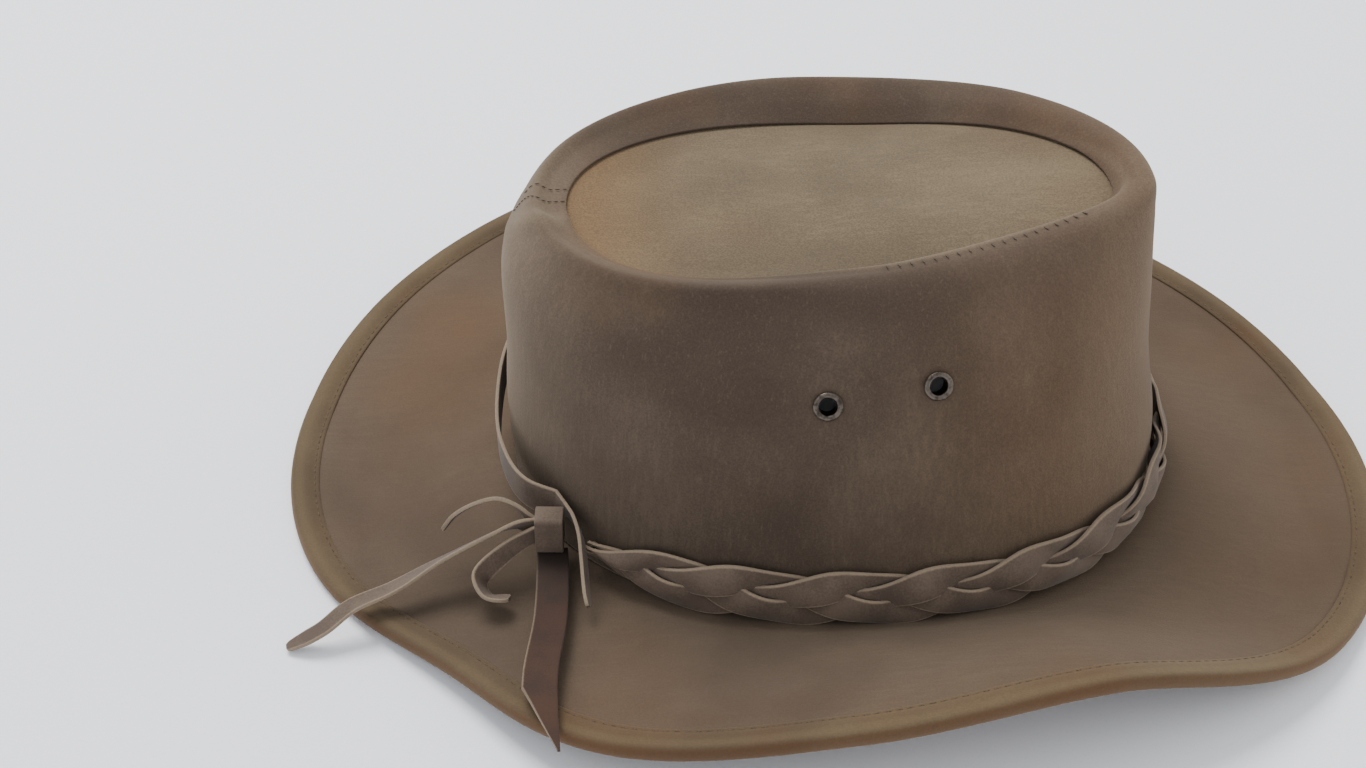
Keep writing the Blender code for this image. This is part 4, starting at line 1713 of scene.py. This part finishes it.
@dataclass
class Band(Assembly):
    """Braided strips, the strap round the back, the keeper and the loose tails."""

    width: float = 15.1
    period: float = 89.0
    foot: float = 2.65
    front_rise: float = 1.8
    phase: float = 180.0
    strand_width: float = 9.4
    strand_steps: int = 620
    strand_cup: float = -0.9
    strand_gap: float = 0.6
    swing_share: float = 0.311
    roll_share: float = 0.965
    opening: float = 30.0
    opening_width: float = 0.2
    keeper_angle: float = 213.5
    keeper_stand: float = 8.4
    keeper_length: float = 8.5
    keeper_wall: float = 1.2
    keeper_room: float = 2.2
    keeper_corner: float = 1.4
    keeper_corner_steps: int = 7
    keeper_soft: float = 0.3
    keeper_bevel: float = 0.1
    keeper_sharp: float = 40.0
    tail_width: float = 6.2
    strap_width: float = 11.0
    strap_climb: float = 12.3
    tail_reach: float = 80.0
    ahead: float = 9.5
    strap_back: float = 85.5
    strap_lap: float = 12.0
    phase_ahead: float = 37.0
    path_steps: int = 14
    join_steps: int = 8
    end_narrowing: float = 0.35
    end_length: float = 0.6
    cut_length: float = 1.5
    cut_point: float = 0.08
    cut_side: float = 1.0
    pale_side: float = -1.0
    root_extra: float = 4.0
    root_shade: float = 0.8
    root_fade: float = 26.0
    strap_rows: tuple[StrapRow, ...] = (
        StrapRow(1.000, 0.02, 1.02),
        StrapRow(0.813, 0.35, 0.90),
        StrapRow(0.602, 0.92, 0.38),
        StrapRow(0.368, 1.00, 0.30),
        StrapRow(0.205, 0.72, 0.74),
        StrapRow(0.099, 0.59, 0.87),
        StrapRow(0.029, 0.51, 0.28),
    )
    fall: tuple[Row, ...] = (
        Row(0.011, 0.060, 1, 1.190, 78.0),
        Row(0.044, 0.005, 1, 1.156, 74.0),
        Row(0.069, -0.060, 1, 0.980, 72.0),
        Row(0.082, -0.135, 1, 0.730, 70.0),
        Row(0.092, -0.216, 1, 0.534, 68.0),
        Row(0.104, -0.298, 1, 0.395, 64.0),
    )
    fall_widths: tuple[float, float] = (0.62, 0.36)
    tails: tuple[Tail, ...] = (
        Tail("tail_long", 6.2, 0.97, 1.0, 0, "root", (
            Row(-0.024, 0.000, 1, 1.075, -89.0),
            Row(-0.068, 0.000, 1, 1.158, -84.0),
            Row(-0.130, -0.012, 1, 1.277, -55.0),
            Row(-0.230, -0.035, 1, 1.187, -38.0),
            Row(-0.428, -0.068, 1, 0.800, -30.0),
            Row(-0.592, -0.139, 1, 0.563, -12.0),
            Row(-0.742, -0.206, 1, 0.419, -4.0),
            Row(-0.855, -0.272, 0, 0.437, -2.0),
            Row(-0.986, -0.304, 0, 0.081, 0.0),
        )),
        Tail("tail_thin", 6.2, 0.56, 0.40, 1, "root", (
            Row(-0.024, 0.000, 1, 1.085, -88.0),
            Row(-0.068, 0.004, 1, 1.203, -80.0),
            Row(-0.130, 0.026, 1, 1.522, -50.0),
            Row(-0.205, 0.046, 1, 1.651, -38.0),
            Row(-0.292, 0.052, 1, 1.541, -38.0),
            Row(-0.368, 0.052, 1, 1.313, -38.0),
            Row(-0.418, 0.046, 1, 0.995, -38.0),
        )),
        Tail("tail_wide", 10.5, 0.905, 1.0, 0, "wide", (
            Row(0.008, -0.010, 1, 0.99, 0.0),
            Row(0.015, -0.110, 1, 1.00, 0.0),
            Row(0.020, -0.360, 1, 0.98, 2.0),
            Row(0.001, -0.610, 1, 0.91, 0.0),
            Row(0.008, -0.798, 1, 0.81, 0.0),
            Row(0.026, -0.998, 1, 0.55, -2.0),
        )),
        Tail("tail_loop", 6.2, 1.0, 1.13, -1, "root", (
            Row(-0.024, -0.001, 1, 1.030, 90.0),
            Row(-0.068, -0.009, 1, 1.020, 91.0),
            Row(-0.161, -0.056, 1, 0.923, 76.0),
            Row(-0.255, -0.116, 1, 0.635, 60.0),
            Row(-0.230, -0.178, 1, 0.415, 40.0),
            Row(-0.142, -0.203, 1, 0.402, 20.0),
        )),
    )

    def __post_init__(self) -> None:
        """Work out the sizes that follow from the leather's thickness."""
        shape = self.shape
        self.swing = self.swing_share * self.width
        self.lift = shape.strip_leather + shape.clearance
        self.roll = self.roll_share * self.lift
        self.standoff = (self.lift + self.roll + shape.strip_leather / 2
                         + self.strand_gap * shape.clearance)
        outside = self.standoff + self.lift + self.roll + shape.strip_leather / 2
        self.middle_height = shape.join_height + self.foot + self.width / 2
        self.strap_standoff = outside + shape.clearance + shape.strip_leather / 2
        self.root_pitch = shape.tail_leather + shape.clearance
        self.keeper_height = self.tail_width + 2 * (self.keeper_wall + self.keeper_room)
        self.keeper_depth = 3 * shape.tail_leather + 6 * shape.clearance + 2 * self.keeper_wall
        self.root_lift = self.keeper_stand + self.keeper_height / 2
        self.wide_lift = self.keeper_stand - shape.clearance - shape.tail_leather / 2
        self.loom = StripLoom()

    def strip_material(self, name: str, width: float,
                       tone: StripTone = StripTone.TAUPE) -> bpy.types.Material:
        """Material of a strip, made the first time it is asked for.

        Args:
            name: The material's name.
            width: The strip's width in millimetres.
            tone: Its tone.

        Returns:
            The material.
        """
        made = bpy.data.materials.get(name)
        side = self.pale_side if tone is StripTone.RUSSET else 0.0
        return made or StripLeather(name, *tone.value, width / 2, side).make()

    def strands(self) -> list[bpy.types.Object]:
        """Make the three strips of the braid.

        Returns:
            The strips.
        """
        start = self.keeper_angle + self.ahead
        span = 360.0 - self.ahead - self.strap_back + self.strap_lap
        angles = np.linspace(start - self.root_extra, start + span, self.strand_steps)
        rises = self.front_rise * np.cos(np.radians(angles))
        frames = [self.shape.wall_at(angle, self.middle_height + rise)
                  for angle, rise in zip(angles, rises)]
        base = np.array([f[0] for f in frames])
        normal = np.array([f[1] for f in frames])
        up = np.array([f[2] for f in frames])
        lengths = np.concatenate(([0.0], np.cumsum(np.linalg.norm(np.diff(base, axis=0), axis=1))))
        mark = np.interp(start + self.phase_ahead, angles, lengths)
        opened = np.clip(lengths / self.opening, 0.0, 1.0)
        eased = opened * opened * (3.0 - 2.0 * opened)
        spread = self.opening_width + (1.0 - self.opening_width) * eased
        made = []
        for strand in range(3):
            turns = (lengths - mark) / self.period + strand / 3
            turn = 2 * math.pi * turns + math.radians(self.phase)
            middle = self.swing * np.cos(turn) * spread
            out = self.standoff - self.lift * np.sin(2 * turn)
            core = base + up * middle[:, None] + normal * out[:, None]
            across = (up * (spread * self.strand_width / 2)[:, None]
                      + normal * (self.roll * np.sin(3 * turn))[:, None])
            made.append(self.loom.weave(
                "braid_strip_%d" % (strand + 1), core, across, normal, self.strand_width,
                self.shape.strip_leather, self.strand_cup,
                self.strip_material("braid_leather", self.strand_width)))
        return made

    def keeper_centre(self) -> Vector:
        """Middle of the keeper, clear of the strap that lies on the wall behind it.

        Returns:
            The point.
        """
        shape = self.shape
        point, normal, _ = shape.wall_at(self.keeper_angle, self.middle_height)
        reach = (self.keeper_length * abs(normal.x) + self.keeper_depth * abs(normal.y)) / 2
        standoff = (reach + self.strap_rows[-1].standoff * self.strap_standoff
                    + shape.strip_leather / 2 + shape.clearance)
        centre = point + normal * standoff
        centre.z = shape.brim_top(centre.x, centre.y) + self.root_lift
        return centre

    def loose(self, start: Vector, route: Sequence[Row], lift: float, widths: tuple[float, float],
              cut: bool = False) -> tuple[np.ndarray, np.ndarray]:
        """Path and half-width vectors of a loose strip.

        Args:
            start: Where it starts.
            route: Its rows.
            lift: The lift that the rows share.
            widths: First and last width.
            cut: Whether its end is cut slanting to a point on one side, not narrowed.

        Returns:
            Points and half-width vectors in millimetres.
        """
        steps = (len(route) - 1) * self.path_steps
        rows = [Row(*spline(route, step / self.path_steps)) for step in range(steps + 1)]
        middles = []
        for row in rows:
            x, y = start.x + row.ahead * self.tail_reach, start.y + row.aside * self.tail_reach
            middles.append(Vector((x, y, row.over * self.shape.brim_top(x, y) + row.lift * lift)))
        across = []
        moves = []
        for step, row in enumerate(rows):
            along = (middles[min(step + 1, steps)] - middles[max(step - 1, 0)]).normalized()
            level = Vector((0.0, 0.0, 1.0)).cross(along).normalized()
            tilt = math.radians(row.tilt)
            side = level * math.cos(tilt) - along.cross(level) * math.sin(tilt)
            width = widths[0] + (widths[1] - widths[0]) * step / steps
            if cut:
                tip = min((steps - step) / (self.cut_length * self.path_steps), 1.0)
                kept = self.cut_point + (1 - self.cut_point) * tip
            else:
                tip = min((steps - step) / (self.end_length * self.path_steps), 1.0)
                kept = self.end_narrowing + (1 - self.end_narrowing) * math.sqrt(tip)
            across.append(side * kept * width / 2)
            moves.append(side * (1 - kept) * width / 2 if cut else Vector())
        return np.array(middles) + self.cut_side * np.array(moves), np.array(across)

    @staticmethod
    def faces(points: np.ndarray, across: np.ndarray) -> np.ndarray:
        """Unit face normals of a strip from its path and width vectors."""
        normals = np.cross(np.gradient(points, axis=0), across)
        return normals / np.linalg.norm(normals, axis=1, keepdims=True)

    def strap(self) -> bpy.types.Object:
        """Make the plain strap round the back, falling to the brim past the keeper.

        Returns:
            The strap.
        """
        points, across = [], []
        steps = (len(self.strap_rows) - 1) * self.path_steps
        for step in range(steps + 1):
            row = StrapRow(*spline(self.strap_rows, step / self.path_steps))
            point, normal, up = self.shape.wall_at(
                self.keeper_angle - row.before * self.strap_back,
                self.middle_height + row.climb * self.strap_climb)
            points.append(point + normal * row.standoff * self.strap_standoff)
            across.append(up * -self.strap_width / 2)
        start = self.keeper_centre() + Vector((self.keeper_length / 2, 0.0, 0.0))
        widths = tuple(share * self.strap_width for share in self.fall_widths)
        after, sides = self.loose(start, self.fall, self.root_lift, widths)
        points, across = self.join(np.array(points), np.array(across), after, sides)
        return self.loom.weave(
            "back_strap", points, across, self.faces(points, across), self.strap_width,
            self.shape.strip_leather, 0.0, self.strip_material("strap_leather", self.strap_width))

    def join(self, points: np.ndarray, across: np.ndarray, after: np.ndarray,
             sides: np.ndarray) -> tuple[np.ndarray, np.ndarray]:
        """Join two stretches of a strip with an even step between them.

        Args:
            points: Points of the first stretch.
            across: Its half-width vectors.
            after: Points of the second stretch.
            sides: Its half-width vectors.

        Returns:
            Points and half-width vectors of the whole strip.
        """
        shares = np.linspace(0.0, 1.0, self.join_steps)[1:-1, None]
        blend = points[-1] + (after[0] - points[-1]) * shares
        swing = across[-1] * (1 - shares) + sides[0] * shares
        return np.concatenate((points, blend, after)), np.concatenate((across, swing, sides))

    def tail(self, row: Tail) -> bpy.types.Object:
        """Make one loose end of the band.

        Args:
            row: Its table row.

        Returns:
            The strip.
        """
        start = self.keeper_centre() + Vector((0.0, row.layer * self.root_pitch, 0.0))
        lift = self.root_lift if row.lift == "root" else self.wide_lift
        wide = row.lift == "wide"
        widths = (row.root * row.width, row.end * row.width)
        points, across = self.loose(start, row.route, lift, widths, wide)
        tone = StripTone.RUSSET if wide else StripTone.TAUPE
        item = self.loom.weave(
            row.name + "_strip", points, across, self.faces(points, across), row.width,
            self.shape.tail_leather, 0.0,
            self.strip_material(row.name + "_leather", row.width, tone))
        away = [(vertex.co / MM - start).length for vertex in item.data.vertices]
        strength = self.root_shade if wide else 0.0
        keep(item.data, "root", strength * np.exp(-(np.array(away) / self.root_fade) ** 2))
        return item

    def keeper(self) -> bpy.types.Object:
        """Make the short leather tube round the roots of the tails.

        Returns:
            The keeper.
        """
        centre = self.keeper_centre()
        turns = np.linspace(0.0, 90.0, self.keeper_corner_steps).tolist()
        rings = []
        for shift, shrink in self.keeper_section():
            corner = max(self.keeper_corner - shrink, self.keeper_wall / 2)
            depth = self.keeper_depth / 2 - shrink - corner
            height = self.keeper_height / 2 - shrink - corner
            ring = []
            for quarter, (sy, sz) in enumerate(((1, 1), (-1, 1), (-1, -1), (1, -1))):
                for turn in turns:
                    angle = math.radians(90.0 * quarter + turn)
                    ring.append(centre + Vector((shift, sy * depth + corner * math.cos(angle),
                                                 sz * height + corner * math.sin(angle))))
            rings.append(ring)
        item = ring_mesh("knot_keeper", np.array(rings))
        item.data.set_sharp_from_angle(angle=math.radians(self.keeper_sharp))
        keep(item.data, "profile", np.zeros((len(item.data.vertices), 3)))
        item.data.materials.append(self.strip_material("keeper_leather", self.keeper_length))
        return item

    def keeper_section(self) -> list[tuple[float, float]]:
        """Closed profile of the keeper's wall: shift along it, and depth into its wall.

        Returns:
            The profile.
        """
        half, wall = self.keeper_length / 2, self.keeper_wall
        soft, bevel = self.keeper_soft, self.keeper_bevel
        return [(-half + soft, 0.0), (half - soft, 0.0), (half - bevel, bevel), (half, soft),
                (half, wall - soft), (half - soft, wall), (-half + soft, wall),
                (-half, wall - soft), (-half, soft), (-half + bevel, bevel)]

    def build(self) -> None:
        """Make and hand over the band's pieces."""
        for number, item in enumerate(self.strands(), 1):
            self.hand_over(item, "band_leather", "band_strand_%d" % number)
        self.hand_over(self.strap(), "band_leather", "band_strap")
        self.hand_over(self.keeper(), "band_leather", "band_keeper")
        for row in self.tails:
            self.hand_over(self.tail(row), "band_leather", row.name)


# ---------------------------------------------------------------- stitching


class StitchLoom(Loom):
    """Lays short stitches at an even pitch along a path on a face."""

    def __init__(self) -> None:
        """Write the tree."""
        super().__init__("stitches", ("Pitch", "Length", "Width", "Height"))
        sizes = self.entry.outputs
        path = self.add("GeometryNodeMeshToCurve", None, {"Mesh": sizes["Geometry"]})
        evenly = self.add("GeometryNodeResampleCurve", {"mode": "LENGTH"}, {
            "Curve": path.outputs[0], "Length": sizes["Pitch"]})
        bead = self.add("GeometryNodeMeshUVSphere", None, {
            "Segments": 6, "Rings": 5, "Radius": 0.5})
        tangent = self.add("GeometryNodeInputTangent")
        along = self.add("FunctionNodeAlignRotationToVector", {"axis": "X"}, {
            "Vector": tangent.outputs[0]})
        upright = self.add("FunctionNodeAlignRotationToVector", {"axis": "Z", "pivot_axis": "X"}, {
            "Rotation": along.outputs[0], "Vector": self.kept("face")})
        scale = self.add("ShaderNodeCombineXYZ", None, {
            0: sizes["Length"], 1: sizes["Width"], 2: sizes["Height"]})
        placed = self.add("GeometryNodeInstanceOnPoints", None, {
            "Points": evenly.outputs[0], "Instance": bead.outputs[0],
            "Rotation": upright.outputs[0], "Scale": scale.outputs[0]})
        self.end(placed.outputs[0])


@dataclass(frozen=True)
class Stitch:
    """Pitch, length, width and height of one kind of stitch, in millimetres."""

    pitch: float
    length: float
    width: float
    height: float

    def sizes(self) -> dict[str, float]:
        """The stitch loom's inputs in metres."""
        return {"Pitch": self.pitch * MM, "Length": self.length * MM, "Width": self.width * MM,
                "Height": self.height * MM}


@dataclass
class Stitching(Assembly):
    """The stitched line of the hem, the seam of the rim and the stitches over its near crest."""

    hem_steps: int = 720
    hem_reach: float = 6.5
    hem_gap: float = 0.05
    hem_layer: float = 0.62
    hem_stitch: Stitch = Stitch(3.1, 2.2, 0.5, 0.35)
    seam_stitch: Stitch = Stitch(2.1, 1.7, 0.32, 0.3)
    crest_stitch: Stitch = Stitch(3.4, 0.45, 3.0, 0.45)
    seam_lift: float = 0.3
    seam_steps: int = 8
    crest_lift: float = 0.6
    crest_steps: int = 60
    crest_below: float = 0.3
    crest_angles: tuple[float, float] = (280.0, 336.0)
    seam_rows: tuple[Pairs, ...] = (
        ((4.5, 178.0), (5.2, 178.0), (6.0, 177.5), (6.8, 176.0)),
        ((3.8, 178.0), (4.6, 180.5), (5.4, 182.0), (6.8, 180.5)),
    )

    def hem_line(self) -> bpy.types.Object:
        """Make the stitches of the hem.

        Returns:
            The stitches.
        """
        points, faces = [], []
        rise = self.shape.brim_leather / 2 + self.hem_gap + self.hem_layer
        for step in range(self.hem_steps):
            edge, inward, normal = self.shape.edge_frame(360.0 * step / self.hem_steps)
            points.append(edge + inward * self.hem_reach + normal * rise)
            faces.append(normal)
        path = line_mesh("hem_path", np.array(points), True, face=np.array(faces))
        thread = Finish.HEM_THREAD.material()
        return StitchLoom().run(path, "hem_stitches", thread, self.hem_stitch.sizes())

    def wall_row(self, places: Rows, stitch: Stitch, lift: float,
                 finish: Finish) -> bpy.types.Object:
        """Make one row of stitches along places of the crown wall.

        Args:
            places: Section places and plan angles along the row.
            stitch: The stitch's sizes.
            lift: Height over the wall in millimetres.
            finish: The thread.

        Returns:
            The stitches.
        """
        frames = [self.shape.wall_frame(degrees, place) for place, degrees in places]
        points = np.array([f[0] + f[1] * lift for f in frames])
        path = line_mesh("row_path", points, False, face=np.array([f[1] for f in frames]))
        return StitchLoom().run(path, "stitch_row", finish.material(), stitch.sizes())

    def seam(self) -> bpy.types.Object:
        """Make the two rows of stitches across the rim at the back.

        Returns:
            The stitches.
        """
        rows = []
        for corners in self.seam_rows:
            steps = (len(corners) - 1) * self.seam_steps
            places = [spline(corners, step / self.seam_steps) for step in range(steps + 1)]
            rows.append(self.wall_row(places, self.seam_stitch, self.seam_lift,
                                      Finish.SEAM_THREAD))
        return merge(rows, "rim_seam_stitches")

    def crest(self) -> bpy.types.Object:
        """Make the short stitches over the rim's near crest.

        Returns:
            The stitches.
        """
        first, last = self.crest_angles
        angles = [first + (last - first) * step / self.crest_steps
                  for step in range(self.crest_steps + 1)]
        places = [(self.shape.crest_place(angle) - self.crest_below, angle) for angle in angles]
        row = self.wall_row(places, self.crest_stitch, self.crest_lift, Finish.CREST_THREAD)
        return merge([row], "crest_stitches")

    def build(self) -> None:
        """Make and hand over the stitches."""
        self.hand_over(self.hem_line(), "hem_leather")
        self.hand_over(self.seam(), "crown_leather")
        self.hand_over(self.crest(), "crown_leather")


def merge(items: Sequence[bpy.types.Object], name: str) -> bpy.types.Object:
    """Merge objects of one material into one piece.

    Args:
        items: The objects, removed afterwards.
        name: The piece's name.

    Returns:
        The piece.
    """
    shape = bmesh.new()
    for item in items:
        shape.from_mesh(item.data)
    mesh = bpy.data.meshes.new(name)
    shape.to_mesh(mesh)
    shape.free()
    mesh.materials.append(items[0].data.materials[0])
    for item in items:
        bpy.data.objects.remove(item, do_unlink=True)
    mesh.shade_smooth()
    return link(name, mesh)


# ---------------------------------------------------------------- studio


@dataclass(frozen=True)
class Lamp:
    """A soft area light: its name, place in metres, size and power."""

    name: str
    place: Place
    size: float
    power: float
    colour: Colour = (1.0, 1.0, 1.0)


@dataclass
class Studio:
    """The pale floor, the soft lights and the camera at the photograph's angle."""

    lamps: tuple[Lamp, ...] = (
        Lamp("key", (-0.5, 0.62, 1.45), 0.8, 30.0, (1.0, 0.99, 0.98)),
        Lamp("side", (1.35, 0.1, 0.6), 1.2, 7.0, (1.0, 0.95, 0.82)),
        Lamp("fill", (-0.9, -1.1, 1.1), 1.6, 5.0, (0.97, 0.98, 1.0)),
    )
    target: Place = (0.0, 0.0, 0.05)
    sky: Colour = (0.82, 0.85, 0.9)
    sky_power: float = 1.06
    floor_half: float = 4.0
    floor_drop: float = 0.0002
    eye: Place = (-50.2, -489.3, 417.2)
    right: Place = (1.0, 0.0038, 0.0086)
    up: Place = (-0.0091, 0.6132, 0.7899)
    back: Place = (-0.0023, -0.7899, 0.6132)
    lens: float = 50.0
    sensor: float = 36.0
    nearest: float = 0.01

    def floor(self) -> None:
        """Make the floor."""
        half = self.floor_half
        corners = [(x, y, -self.floor_drop)
                   for x, y in ((-half, -half), (half, -half), (half, half), (-half, half))]
        mesh = bpy.data.meshes.new("studio_floor")
        mesh.from_pydata(corners, [], [(0, 1, 2, 3)])
        mesh.materials.append(Finish.FLOOR.material())
        link("studio_floor", mesh)

    def light(self) -> None:
        """Place the lights and set the pale surroundings."""
        for lamp in self.lamps:
            data = bpy.data.lights.new(lamp.name, "AREA")
            data.size = lamp.size
            data.energy = lamp.power
            data.color = lamp.colour
            item = bpy.data.objects.new(lamp.name, data)
            item.location = lamp.place
            aim = Vector(self.target) - Vector(lamp.place)
            item.rotation_euler = aim.to_track_quat("-Z", "Y").to_euler()
            bpy.context.scene.collection.objects.link(item)
        world = bpy.data.worlds.new("studio_sky")
        world.use_nodes = True
        background = world.node_tree.nodes["Background"]
        background.inputs["Color"].default_value = (*self.sky, 1.0)
        background.inputs["Strength"].default_value = self.sky_power
        bpy.context.scene.world = world

    def camera(self) -> None:
        """Place the camera."""
        data = bpy.data.cameras.new("photo_camera")
        data.lens = self.lens
        data.sensor_width = self.sensor
        data.clip_start = self.nearest
        item = bpy.data.objects.new("photo_camera", data)
        axes = Matrix((self.right, self.up, self.back)).transposed().to_4x4()
        item.matrix_world = Matrix.Translation(Vector(self.eye) * MM) @ axes
        bpy.context.scene.collection.objects.link(item)
        bpy.context.scene.camera = item

    def build(self) -> None:
        """Set up the studio."""
        self.floor()
        self.light()
        self.camera()
        LOG.info("studio: %d lights", len(self.lamps))


# ---------------------------------------------------------------- main


def main() -> None:
    """Build the studio and the hat's sub-assemblies in order."""
    logging.basicConfig(level=logging.INFO, format="%(name)s %(message)s")
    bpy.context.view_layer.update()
    shape = HatShape()
    Studio().build()
    vents = Vents(shape)
    Crown(shape).build(vents)
    Brim(shape).build()
    vents.build()
    Band(shape).build()
    Stitching(shape).build()


if __name__ == "__main__":
    main()
